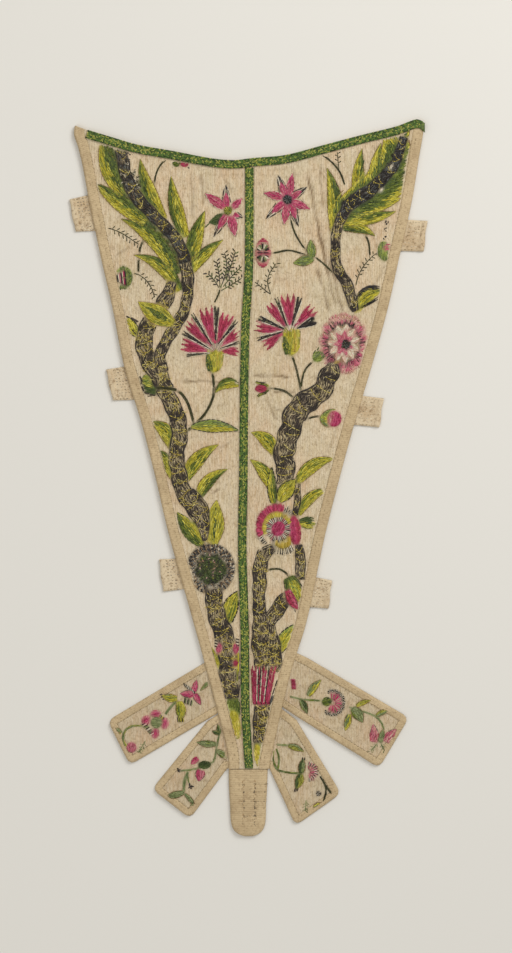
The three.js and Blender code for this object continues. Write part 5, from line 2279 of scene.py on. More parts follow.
def star(work: Stitches, petals: Sequence[tuple[Row, Row, float, str]]) -> None:
    """Work the petals of a star flower.

    Args:
        work: The area.
        petals: Foot, tip, half width and kind: plain, or ended with black and white strokes.
    """
    for base, tip, half, kind in petals:
        if kind == "striped":
            for count, share in enumerate((-1.1, -0.75, -0.4, 0.0, 0.4, 0.75, 1.1)):
                first = 0.22 if abs(share) > 1 else 0.5
                a = beside(base, tip, first, share * half)
                b = beside(base, tip, 1.06 - 0.22 * abs(share), share * half * 0.45)
                work.strokes([(*a, *b)], 0.6, (INK, IVORY, INK)[count % 3], 0.5)
            short, slim = beside(base, tip, 0.68, 0), (half * 0.85, half * 0.85)
            work.leaf(base, short, 0, slim, (PINK, ROSE), edge=None, rise=0.56, full=0.6)
        else:
            wide = (half * 1.05, half * 1.05)
            work.leaf(base, tip, 0, wide, (PINK, PINK), edge=IVORY, edge_width=0.55, rise=0.5, full=0.6)
            for way in (-1, 1):
                a, b = beside(base, tip, 0.35, way * (half + 0.5)), beside(base, tip, 1.03, way * 0.4)
                work.strokes([(*a, *b)], 0.3, (Shade.BARK, Shade.TAN), 0.5)


def left_upper() -> Stitches:
    """The large leaf, the star flower and the upper trunk on the left half."""
    work = Stitches("embroidery_left_upper", 11, CUT.in_silk)
    body = [
        (-73, 180, 4), (-71, 170, 4.5), (-67, 161, 5), (-62, 154, 5.5), (-57, 147, 6), (-52, 140.5, 6),
        (-47, 134, 6), (-42, 127, 6), (-38, 119, 5.5), (-35.5, 111, 4),
    ]
    work.trunk(body, 0, 0.45, (DARK, LEAFY), False)
    leaves(work, [
        ((-67, 153), (-79.8, 183), 2.4, (4.4, 5.4), LIME, LEAFY, {"full": 0.7}),
        ((-55, 138), (-84, 160), 0.4, (4.2, 4.6), LIME, LEAFY, {"full": 0.7}),
        ((-40, 112), (-69, 140), -4.2, (4.0, 4.2), LIME, LEAFY, {"full": 0.6}),
        ((-37, 101), (-62, 120.4), -4.9, (4.4, 3.0), LIME, LEAFY, {"full": 0.6}),
        ((-46, 139), (-58.5, 172.4), 2.2, (4.2, 4.4), LEAFY, LIME, {"full": 0.6}),
        ((-34, 130), (-41.8, 163), 1.6, (3.8, 4.0), LEAFY, LIME, {"full": 0.6}),
        ((-31, 115), (-23.4, 144.4), 1.2, (4.4, 4.0), LEAFY, LIME, {"full": 0.6}),
        ((-31, 111.5), (-13.6, 128.6), 1.6, (3.2, 3.2), LEAFY, LIME, {"full": 0.6}),
        ((-40.5, 83.5), (-59.6, 95.2), 0.6, (5.2, 5.2), LIME, LIME,
         {"vein": DARK, "full": 0.35, "edge": (Shade.TAN, Shade.RUST), "rise": 0.98}),
        ((-44, 85.4), (-54.5, 92.2), 0.4, (1.7, 1.9), LEAFY, LEAFY, {"edge": None, "rise": 1.05}),
        ((-59, 77), (-69, 89), 0.5, (3.2, 3.2), LIME, LIME, {"edge": INK, "edge_width": 0.9}),
    ])
    work.strokes([(-59, 84, -68, 89), (-60, 77, -68.5, 86)], 1.1, INK, 0.45)
    tufts = (
        (-66.5, 159), (-63, 165), (-65.5, 170), (-61, 162), (-68, 163), (-62.5, 157), (-66, 175), (-60, 158)
    )
    for spot in tufts:
        work.knots(spot, 1.7, 15, (Shade.BLACK, Shade.BLACK, Shade.CREAM, Shade.STEM), 0.9)
    spine = [
        (-69, 179, 3), (-67.5, 170, 3), (-66, 163, 3), (-63.5, 157, 3.2), (-60, 151, 3.2), (-55, 145.5, 3),
        (-50, 140.5, 3), (-45, 135.5, 3), (-40, 130, 3), (-36, 123, 3), (-34, 116, 3), (-32.8, 108, 3.2),
        (-32.8, 100, 2.8), (-34.5, 91, 2.8), (-38.5, 83.5, 3), (-42.5, 77, 3), (-46, 71, 2.8), (-48, 64, 3),
        (-46, 57, 3),
    ]
    work.trunk(spine[:11], 0.4, 0.9, ((Shade.BLACK, Shade.BARK_DARK), (Shade.BARK, Shade.SLATE)), curls=0.2)
    work.trunk(spine[10:], 0.4, 0.9, curls=0.35)
    work.strokes(
        [(-70.5, 176, -67, 172), (-69.5, 168, -66, 165), (-68, 172, -65, 176), (-68, 161, -64, 160)], 0.8,
        INK, 1.0,
    )
    work.trunk([(-41, 106, 2), (-43.5, 99, 3.6), (-46.5, 93, 4), (-48.5, 89.5, 3)], 0.4, curls=0.25)
    work.trunk([
        (-53, 86, 4), (-55, 80, 4.2), (-56.5, 73, 4.4), (-55, 66, 4.4), (-52, 60, 4.4), (-48, 55, 4.5),
        (-45, 48, 4.5),
    ], 0.5, curls=0.75)
    # The star flower beside the middle braid.
    work.leaf((-12, 142), (-21.5, 138), 0.8, (3.2, 3.2), (DARK, DARK), edge=None)
    work.strokes([(-20, 138.5, -24, 135)], 1.0, DARK)
    star(work, (
        ((-12, 145.5), (-12.2, 158), 2.3, "striped"), ((-13, 146), (-23.4, 153.6), 2.6, "plain"),
        ((-9, 145.5), (-3.4, 151), 2.0, "plain"), ((-8, 142.5), (-3.2, 140.6), 1.7, "striped"),
        ((-9.5, 141.6), (-7.2, 130.4), 2.6, "plain"), ((-12, 142), (-18.6, 130.6), 2.2, "striped"),
    ))
    work.fringe((-11, 144.3), 0.4, 2.4, (0, 360), 0.7, (DARK, LIME), 0.66)
    # Stems, ferns and the small buds.
    work.stem(
        [(-50.5, 154.5), (-50.8, 160), (-49.5, 165.5), (-46.5, 170.5), (-42, 172.6), (-37, 172.4)], 1.1, TWIG
    )
    work.oval((-39, 170), (2.4, 2.0), 20, LEAFY)
    work.oval((-34.6, 169.6), (2.4, 1.6), 0, RED)
    work.strokes([(-32.3, 168.6, -31, 171.4), (-33, 167.8, -31.8, 167.2)], 0.8, INK)
    work.strokes([(-49.2, 172.8, -47.2, 173), (-51, 171.6, -49.6, 173.6)], 0.8, INK)
    work.stem([(-54.5, 131), (-58, 126), (-59.2, 120), (-59.5, 111)], 1.5, TWIG)
    work.fern([(-79, 136), (-70, 133), (-62, 128), (-59, 126)], 2.6, 1.3, TWIG)
    work.fern([(-63, 110), (-59, 110), (-53, 104), (-50.5, 97)], 2.3, 1.3, TWIG)
    work.oval((-67.6, 108), (6.2, 4.9), 75, PALE)
    work.fringe((-68, 108), 3.6, 5.2, (-110, 110), 0.6, (LEAFY, DARK), 0.4, 0.7, 0.3, 1.2)
    for k, shades in enumerate((INK, PINK, IVORY, INK, PINK, IVORY, INK)):
        work.strokes(
            [(-66.0 - k * 0.72, 103.6 + 0.3 * k, -66.8 - k * 0.72, 112.4 - 0.4 * k)], 0.8, shades, 0.62
        )
    return work


def left_middle() -> Stitches:
    """The carnation, its calyx and fern sprig, and the lower trunk on the left half."""
    work = Stitches("embroidery_left_middle", 12, CUT.in_silk)
    work.leaf(
        (-48, 49.5), (-61, 53), 0.4, (6.4, 5.8), (DARK, (Shade.PALE_GREEN, Shade.YELLOW_GREEN)),
        full=0.6, edge=INK, edge_width=0.6,
    )
    work.knots((-58.4, 52.6), 1.4, 14, INK, 0.55)
    work.strokes(
        [(-58.8, 55.4, -57.6, 52), (-57.8, 50, -56.4, 46.4), (-50, 44.4, -56.6, 46.2)], 0.9, INK, 0.5
    )
    work.trunk([
        (-45.5, 50, 4.3), (-45, 48, 4.5), (-42.5, 42, 4.2), (-39.5, 36, 4.4), (-37.5, 28, 4.2),
        (-37.5, 20, 4.2), (-39, 13, 4), (-38, 5, 4), (-36.8, -2, 4.2), (-35, -8, 4.2), (-31.8, -13, 4.2),
        (-29.2, -17.5, 3.8), (-27, -22, 2.8), (-25, -27, 1.8), (-23.6, -34, 1.0),
    ], 0.5, curls=0.4)
    work.trunk([
        (-32, -7, 2.0), (-28.5, -11, 3.0), (-25.5, -16, 3.4), (-24, -21, 3.0), (-23.4, -26, 2.2),
        (-23.2, -33, 1.0),
    ], 0.5)
    work.stem([(-29.4, 27.6), (-30.4, 33), (-33, 41), (-37, 46.4), (-39.4, 47.6)], 1.8, TWIG)
    work.stem([(-38.6, 47.4), (-43.5, 48.4), (-49.5, 48.6)], 2.0, TWIG, 0.98)
    work.stem([(-30, 28), (-24, 34), (-20, 41), (-18.5, 47), (-19, 53), (-19.5, 58)], 1.6, TWIG)
    work.stem([(-33, 25), (-31, 27.5), (-29, 28)], 1.6, TWIG)
    # Carnation: crimson petals first, then the dark slivers over the gaps between them.
    carnation(
        work,
        (
            ((-20.5, 68.6), (-37.4, 72.6), 4.4, 0), ((-19.6, 70.5), (-34.0, 85.6), 4.2, 0),
            ((-18.6, 72), (-23.4, 93.6), 5.0, 0), ((-16.8, 72), (-10.4, 90), 4.6, 0),
            ((-15.8, 70.5), (-4.4, 79.6), 3.8, 0), ((-15.5, 68.6), (-4.2, 67.6), 3.6, 1.2),
        ),
        (
            ((-20.5, 69.5), (-36.6, 79.2), 1.3), ((-19.5, 71.5), (-31.0, 89.6), 1.1),
            ((-17.6, 74), (-17.2, 94), 1.5), ((-16.4, 72), (-5.8, 85.6), 1.2),
            ((-15.6, 69.8), (-4.2, 73.6), 1.0), ((-20.5, 67.6), (-34.4, 66.0), 1.0),
        ),
    )
    work.fringe((-17.6, 67.5), 1.5, 6.5, (20, 160), 0.6, (IVORY, BLUSH, IVORY, INK), 0.56, 0.5, 0.2)
    leaves(work, [
        ((-4.8, 50.5), (-18, 46.0), -3.0, (3.1, 2.9), LIME, LEAFY),
    ])
    work.oval((-18.5, 62.2), (5.4, 4.5), 85, LIME, 0.6)
    work.fan((-18.3, 62.6), (-17.8, 69.6), (4.3, 5.0), LIME, SEPAL, 3, 0.22, 0, 0.6)
    work.leaf((-20.6, 57.6), (-22.2, 68.4), 0.3, (1.5, 1.7), (DARK, LEAFY), edge=None, rise=0.66, full=0.8)
    work.strokes([(-17.4, 60, -16.4, 67.6), (-15.8, 60.4, -14.2, 67.4)], 0.7, STRAW, 0.7)
    # Fern sprig over the carnation.
    work.stem([(-18.6, 94.5), (-16.4, 98.5), (-15.4, 102)], 1.0, TWIG)
    for branch in (
        [(-15.6, 102), (-18.5, 107), (-22, 110.5)],
        [(-15.4, 102.5), (-15.8, 110), (-17.2, 117)],
        [(-15.4, 102), (-12.6, 109), (-11.6, 115), (-13, 122)],
        [(-12.4, 107), (-10, 113), (-7, 122.5)],
        [(-14, 103), (-8, 110), (-3.4, 114.5)],
        [(-15, 101), (-9, 104.5), (-3.4, 108)],
    ):
        work.fern(branch, 2.3, 1.1, (Shade.STEM, Shade.DARK_GREEN, Shade.BLACK), 0.85)
    return work


def left_lower() -> Stitches:
    """Leaves, the thistle and the last leaf at the point on the left half."""
    work = Stitches("embroidery_left_lower", 13, CUT.in_silk)
    leaves(work, [
        ((-40.5, 14.5), (-53.6, 30.4), -3.6, (4.2, 4.6), LIME, SPRING, {"vein": LEAFY}),
        ((-39.8, -2), (-49.4, 15.8), -1.6, (3.4, 3.8), LIME, LEAFY),
        ((-34.5, -2), (-16, 18), 3.2, (3.8, 4.2), LIME, SPRING, {"vein": LEAFY}),
        ((-27.5, -12), (-11.2, 4.8), 3.0, (3.4, 3.4), LIME, LEAFY),
        ((-19, -36), (-17.2, -11.8), 0.2, (5.4, 5.4), LIME, LIME, {"full": 0.35, "vein": DARK}),
        ((-25, -36), (-38.5, -18.5), 0.6, (4.0, 4.6), LEAFY, LIME, {"edge": DARK, "edge_width": 0.6}),
        ((-31, 27.5), (-5, 25.5), 1.6, (3.2, 3.4), PALE, LIME,
         {"edge": INK, "edge_width": 0.6, "full": 0.25}),
    ])
    work.strokes([(-18.5, -33, -17.6, -22), (-19.1, -31, -18.4, -24)], 1.0, DARK, 0.45)
    work.knots((-43.5, -8), 1.4, 6, SLATE, 0.1)
    work.knots((-43.5, -16.5), 1.2, 5, SLATE, 0.1)
    # Thistle.
    thistle = (-20.4, -49)
    for ring, count in ((12.3, 66), (11.0, 74), (9.6, 70), (8.3, 56)):
        work.fringe(
            thistle, ring - 1.4, ring + 0.6, (0, 360), 0.6, (INK, SLATE, EARTH, INK), 0.48, 0.66, 0.3, 1.05
        )
        for k in range(count):
            angle = 2 * math.pi * (k + work.rng.uniform(-0.4, 0.4)) / count
            lean = angle + work.rng.choice((0.45, 0.9, -0.5, 1.3))
            x, y = thistle[0] + ring * math.cos(angle), thistle[1] + 1.05 * ring * math.sin(angle)
            dx, dy = 1.1 * math.cos(lean), 1.1 * math.sin(lean)
            shades = work.rng.choice((INK, IVORY, INK, IVORY, EARTH, SLATE, INK, INK))
            work.lay((x - dx, y - dy), (x + dx, y + dy), 0.52, shades, 0.5, work.rng.uniform(0, 0.14))
    for k in range(52):
        angle = 2 * math.pi * k / 52
        a = (thistle[0] + 13.2 * math.cos(angle), thistle[1] + 13.8 * math.sin(angle))
        b = (thistle[0] + 13.0 * math.cos(angle + 0.12), thistle[1] + 13.6 * math.sin(angle + 0.12))
        work.lay(a, b, 0.5, INK, 0.4, 0.1)
    work.oval(thistle, (7.6, 7.6), 40, (Shade.DARK_GREEN, Shade.STEM, Shade.BLACK), 0.66)
    work.knots(thistle, 7.8, 420, (Shade.DARK_GREEN, Shade.BLACK, Shade.STEM, Shade.DARK_GREEN), 0.7)
    work.knots(thistle, 7.6, 34, (Shade.OLIVE, Shade.PEACH, Shade.TAN, Shade.SAGE), 0.73)
    work.trunk([
        (-19, -60, 4.2), (-18.5, -67, 4.5), (-17.5, -73, 4.5), (-15.5, -79, 4.8), (-13, -85, 5),
        (-11.5, -91, 5), (-10.2, -97, 5.6), (-9.8, -103, 5.8), (-9.8, -109, 5.4), (-9.4, -114, 4.8),
        (-9, -119, 3.8),
    ], 0.5, curls=0.45)
    leaves(work, [
        ((-10.8, -78.4), (-4.8, -60.6), 1.2, (4.6, 3.4), LIME, SPRING,
         {"edge": INK, "edge_width": 0.9, "vein": LEAFY, "full": 0.5}),
        ((-14.0, -109.5), (-20.4, -90), 1.2, (3.2, 3.4), LIME, SPRING, {"full": 0.6}),
    ])
    work.oval((-16, -92), (2.6, 1.5), 80, PINK, 0.98)
    work.oval((-6.8, -92), (3.0, 1.6), 90, PINK, 0.98)
    work.oval((-6.8, -100), (1.8, 1.2), 90, RED, 0.98)
    for k in range(5):
        down = k * 0.8
        rows = [(-18.6, -87.4 - down, -16.4, -88.2 - down), (-7, -86.8 - down, -4.9, -87.4 - down)]
        work.strokes(rows, 0.75, CHECK[k % 2], 0.98)
    work.strokes([(-5.4, -94, -5.4, -105), (-6.0, -103, -6.0, -110)], 1.0, LIME, 0.98)
    work.leaf(
        (-10, -113), (-7, -139), 0.4, (3.8, 3.4), (LEAFY, (Shade.LEAF_GREEN, Shade.PALE_GREEN)),
        full=0.9, edge=DARK, crest=0.35,
    )
    work.oval((-7.4, -133.4), (7.8, 3.6), -81, MOSS, 0.5)
    work.oval((-7.7, -132.4), (7.0, 3.0), -81, GILT, 0.66)
    return work


def right_upper() -> Stitches:
    """The large leaf, the star flower and the upper trunk on the right half."""
    work = Stitches("embroidery_right_upper", 21, CUT.in_silk)
    work.leaf((59, 154), (61.4, 178), 0.8, (3.2, 3.2), (LIME, LEAFY), full=0.9, crest=0.3)
    work.leaf((68, 160), (71.6, 181), 0.5, (3.4, 3.2), (LIME, LEAFY), full=0.9, crest=0.3)
    work.feather(
        [(49, 139), (54, 146), (62, 151.5), (70, 158), (77, 166.5), (82, 177), (84.5, 188)],
        (
            [(0, 6), (0.12, 9), (0.3, 10.5), (0.55, 12), (0.75, 11.5), (0.9, 9.5), (1, 6)],
            [(0, 5), (0.12, 9), (0.3, 13.5), (0.5, 14.2), (0.65, 11.8), (0.75, 9.8), (0.9, 5.4), (1, 2.8)],
        ),
        ((4, 0.28), (4, 0.16)),
        [(0.34, DARK), (0.68, LEAFY), (0.78, (Shade.LEAF_GREEN, Shade.YELLOW_GREEN)), (2.0, LIME)],
    )
    leaves(work, [
        ((46, 132), (42.2, 167.6), -2.2, (3.8, 4.6), LIME, LEAFY, {"crest": 0.4, "full": 0.5}),
        ((52, 139.5), (79.6, 144), -1.6, (3.6, 3.2), LEAFY, LIME, {"full": 0.8}),
        ((48.5, 135.5), (68.4, 130.6), 2.4, (3.0, 3.2), LIME, LEAFY, {"full": 0.6}),
        ((34.5, 119), (33.5, 128.8), 0.2, (2.6, 2.6), PALE, PALE),
        ((35, 118.5), (24, 116), 0.4, (2.6, 3.0), PALE, PALE),
    ])
    work.strokes([(62.5, 172, 60.4, 165), (78, 154.5, 85, 156.5), (47, 158, 47.5, 142)], 0.9, DARK, 0.5)
    work.trunk([
        (84, 184, 2.0), (82, 178, 2.1), (80, 172, 2.2), (77.5, 167, 2.5), (73, 162.5, 2.8), (69, 158, 3.0),
        (64, 154, 3.3), (59, 151, 3.5), (54.5, 147.5, 3.1), (51.5, 143, 2.5), (49, 138, 2.4),
    ], 0.5, 0.9, ((Shade.BLACK,), (Shade.BARK_DARK, Shade.SLATE)), curls=0.2)
    work.trunk([
        (51.5, 143, 2.6), (49, 138, 2.4), (47.5, 133, 2.4), (47, 127, 2.4), (47, 121, 2.4), (47.5, 115, 2.6),
        (49.5, 110.5, 2.6), (52.5, 106, 2.8), (54.5, 101, 2.8), (56, 95, 2.6), (58, 90, 1.6),
    ], 0.35, 0.9, curls=0.2)
    tufts = (
        (53.5, 146.5), (57, 149.5), (60.5, 151.6), (64, 154), (67.5, 156.5), (71, 159.5), (74.5, 163.5),
        (77.5, 167.5), (80, 172.5),
    )
    for x, y in tufts:
        work.knots((x - 1.0, y + 1.3), 1.5, 22, (Shade.BLACK, Shade.BLACK, Shade.BARK_DARK), 0.9)
        work.knots((x + 1.0, y - 0.9), 1.3, 14, (Shade.BLACK, Shade.BARK_DARK, Shade.SLATE), 0.9)
    work.oval((77, 168), (1.8, 0.7), 60, IVORY, 1.0)
    work.oval((71.6, 155.4), (1.4, 0.6), 50, IVORY, 1.0)
    # The star flower beside the middle braid.
    star(work, (
        ((21.5, 152), (23.8, 164.4), 2.3, "plain"), ((20, 152), (16, 163.2), 2.3, "striped"),
        ((23, 151), (31.4, 157), 2.1, "striped"), ((23.5, 149.2), (33.2, 145.2), 2.2, "plain"),
        ((23, 148), (26.8, 136.2), 2.2, "striped"), ((20.8, 147.5), (19.2, 136.8), 2.3, "plain"),
        ((19, 149), (9.6, 140.2), 2.3, "striped"), ((18.5, 151.3), (8.2, 154), 2.2, "plain"),
    ))
    work.fringe((21, 150.3), 0.3, 2.7, (0, 360), 0.7, (INK, SLATE, INK), 0.66)
    work.stem([
        (22, 147), (22.8, 140), (24.5, 133.5), (28, 127), (32, 122), (37, 118.5), (42, 114.5), (45.5, 111),
        (48, 110),
    ], 1.1, TWIG)
    # Oval bud with a striped middle.
    for k in range(20):
        y = 113.9 + k * 0.8
        half = 4.8 * math.sqrt(max(0.04, 1 - ((y - 121.4) / 7.9) ** 2))
        work.strokes([(7.8 - half, y, 7.8 + half, y + 0.15)], 0.84, RED, 0.5)
    for low, high in ((15, 165), (195, 345)):
        middle = (7.8, 122.0 if low < 100 else 120.8)
        work.fringe(middle, 1.0, 3.9, (low, high), 0.8, (INK, (Shade.SAGE,), IVORY), 0.66, 0.8, 0.15, 1.25, 2)
    work.strokes([(4.4, 121.6, 11.2, 121.6)], 0.7, INK, 0.66)
    work.stem([(11.5, 121.5), (16, 121.8), (20, 123), (25, 122.5), (30, 120.5), (34, 119.3)], 1.3, TWIG)
    work.stem([(63, 131.5), (65, 127), (65.5, 120)], 1.2, TWIG)
    work.fern([(57.5, 102), (60, 111), (66, 119), (71, 122.5)], 2.3, 1.3, TWIG)
    work.stem([(40, 174.5), (45, 170.6), (49.5, 165), (52, 158)], 1.2, TWIG)
    work.fern([(49, 166), (48.3, 171), (48, 177)], 2.0, 1.2, TWIG)
    work.oval((73.2, 122.4), (5.4, 3.4), 95, PALE)
    work.strokes([(70.4, 119.5, 70.2, 125), (71.6, 117.6, 76.4, 118)], 0.7, LEAFY, 0.4)
    work.oval((76, 124.4), (3.0, 2.4), 0, PINK, 0.5)
    work.strokes([(72.8, 127, 78.6, 127), (73, 121.6, 78, 121.6), (73.6, 124.4, 78, 124.6)], 0.6, INK, 0.5)
    for x, y in ((74, 139), (75, 137.5), (73.5, 134), (73, 130)):
        work.knots((x, y), 0.5, 3, INK)
    work.strokes([(72, 110, 74, 107)], 0.8, INK)
    return work


def right_middle() -> Stitches:
    """The carnation, the rose and the broad trunk on the right half."""
    work = Stitches("embroidery_right_middle", 22, CUT.in_silk)
    leaves(work, [
        ((57.4, 90), (73.4, 101.4), 2.8, (4.4, 3.8), LIME, LIME, {"edge": None, "vein": LEAFY, "full": 0.6}),
    ])
    for inset in (0.0, 1.0):
        work.stem(
            [
                (57.2, 94.8 - inset), (59.6, 99.6 - inset), (63, 102.6 - inset),
                (67.6, 103.6 - inset), (73, 102 - inset),
            ],
            1.8, INK, 0.5,
        )
    work.stem([(60.5, 92), (66, 94.6), (73.4, 99.4)], 1.8, INK, 0.5)
    carnation(
        work,
        (
            ((19.5, 79.5), (2.6, 82.4), 4.0, 0), ((18.5, 79), (7.4, 70.6), 4.2, 0),
            ((20.5, 81), (11.2, 96), 4.4, 0), ((22.4, 82), (21, 100), 5.2, 0),
            ((25, 80.8), (36, 92.6), 4.2, 0),
        ),
        (
            ((19.4, 80.6), (4.4, 87), 1.5), ((21, 82), (14.8, 97.6), 1.2), ((23.6, 82), (28, 98.8), 1.5),
            ((26, 80.6), (37, 85.6), 2.4),
            ((18.6, 79.2), (4.0, 74.6), 1.1),
        ),
    )
    work.fringe((22.6, 77.5), 1.5, 6.5, (20, 165), 0.6, (IVORY, BLUSH, IVORY, INK), 0.56, 0.5, 0.2)
    work.oval((22.9, 71.8), (5.6, 4.8), 88, LIME, 0.6)
    work.fan((23, 72), (23.4, 81.4), (4.6, 4.8), LIME, SEPAL, 3, 0.2, 0, 0.6)
    work.leaf((21, 66.6), (19.2, 76.6), 0.2, (1.4, 2.2), (DARK, LEAFY), edge=None, rise=0.66, full=0.9)
    work.leaf((24, 68), (24.6, 80.6), 0, (1.6, 2.0), (LIME, STRAW), edge=None, rise=0.68, full=0.8)
    work.fern([(12, 99), (10.5, 104), (10.5, 109), (13, 113), (15, 116)], 2.2, 1.2, TWIG)
    work.fern([(12, 99), (7, 103), (3.4, 106)], 2.2, 1.2, TWIG)
    work.stem([(23, 67), (25, 62), (27, 54), (28.6, 45)], 1.5, TWIG)
    work.stem([(28.4, 49), (29.5, 56), (32, 60.5), (35, 63)], 1.2, TWIG)
    work.oval((37.6, 65.6), (3.6, 2.8), 35, (Shade.SAGE, Shade.PALE_GREEN), 0.5)
    work.strokes([(36.8, 68.6, 38.2, 70.8), (34.8, 66.6, 36.4, 69.4), (40, 64.6, 41.6, 66)], 0.7, DARK, 0.5)
    # Rose with a scalloped rim.
    rose = (51.4, 72.6)
    for k in range(13):
        degrees = 6 + 360 / 13 * k
        angle = math.radians(degrees)
        faded = 60 < degrees < 130
        spot = (rose[0] + 9.4 * math.cos(angle), rose[1] + 12.6 * math.sin(angle))
        shades = (SUNNED, PEACH) if faded else (PINK, PINK, BLUSH)
        work.fringe(spot, 0.2, 3.6, (degrees - 110, degrees + 110), 0.5, shades, 0.4, 0.6, 0.14)
        work.fringe(
            spot, 2.5, 4.3, (degrees - 85, degrees + 85), 0.62, (PEACH, SUNNED, PEACH, BLUSH), 0.44, 0.6, 0.2
        )
    work.fringe(rose, 8.2, 11.0, (0, 360), 0.5, (PINK, BLUSH, PINK), 0.45, 0.6, 0.3, 1.2)
    work.fringe(rose, 7.4, 10.2, (0, 360), 0.62, (INK, INK, TWIG), 0.52, 0.58, 0.8, 1.2)
    work.fringe(rose, 1.6, 6.6, (0, 360), 0.42, (IVORY, MILK), 0.6, 0.64, 0.05, 1.2)
    for k in range(11):
        angle = math.radians(14 + 360 / 11 * k)
        tip = (rose[0] + 8.8 * math.cos(angle), rose[1] + 10.6 * math.sin(angle))
        foot = (rose[0] + 2.6 * math.cos(angle), rose[1] + 3.0 * math.sin(angle))
        work.leaf(foot, tip, 0, (2.3, 2.3), (IVORY, MILK), edge=SUNNED, rise=0.66, full=0.6, crest=0.6, run=5)
    for k in range(7):
        angle = math.radians(30 + 360 / 7 * k)
        tip = (rose[0] + 5.2 * math.cos(angle), rose[1] + 6.8 * math.sin(angle))
        work.leaf(rose, tip, 0, (1.9, 1.9), (PINK, PINK), edge=None, rise=0.92, full=0.9, crest=0.45)
        work.leaf(
            rose, beside(rose, tip, 1.15, 0), 0, (0.9, 0.9), (BLUSH, PEACH),
            edge=None, rise=0.88, full=0.6, crest=0.7,
        )
    work.knots((52.4, 72.0), 2.1, 64, (Shade.BLACK, Shade.STEM, Shade.SLATE), 1.12)
    # Small bud by the middle braid.
    work.oval((6.6, 48.2), (3.4, 2.0), 0, RED, 0.5)
    work.stem([(3.6, 52), (6.5, 50.8), (9.4, 50.8), (11, 49)], 1.6, SEPAL, 0.5)
    work.stem([(4.6, 43.8), (6.5, 45.4), (9.4, 45.6), (11, 47.6)], 1.6, SEPAL, 0.5)
    work.stem([(11, 48.5), (16, 48), (20.5, 46.5), (25.8, 41.8)], 1.5, TWIG)
    work.trunk([
        (46, 62, 2.5), (45, 58, 4.5), (42.5, 54, 5), (41, 50, 5), (39.5, 46.5, 5), (33, 42.5, 6), (28, 38, 6),
        (24.5, 33.5, 6), (23.5, 28.5, 5.5), (21.5, 23, 5.5), (20, 17, 5.5), (18.8, 11.5, 5.2), (20, 6, 5),
        (20, 1, 4.6), (18.5, -4, 3.6),
    ], 0.3, curls=0.06)
    work.leaf((39.4, 31), (47, 37.2), 0.6, (2.2, 2.6), (PALE, LIME), full=0.6, edge=RUST)
    work.leaf((39.4, 33), (45.6, 27.4), -0.6, (2.4, 2.2), (LIME, PALE), full=0.6, edge=RUST)
    work.oval((46.4, 31.8), (4.4, 3.8), 75, ROSE, 0.6)
    work.oval((44.6, 32.4), (3.4, 1.2), 75, BLUSH, 0.68)
    work.stem([(29.4, 31.2), (35, 33), (41, 33.5)], 1.5, TWIG)
    return work


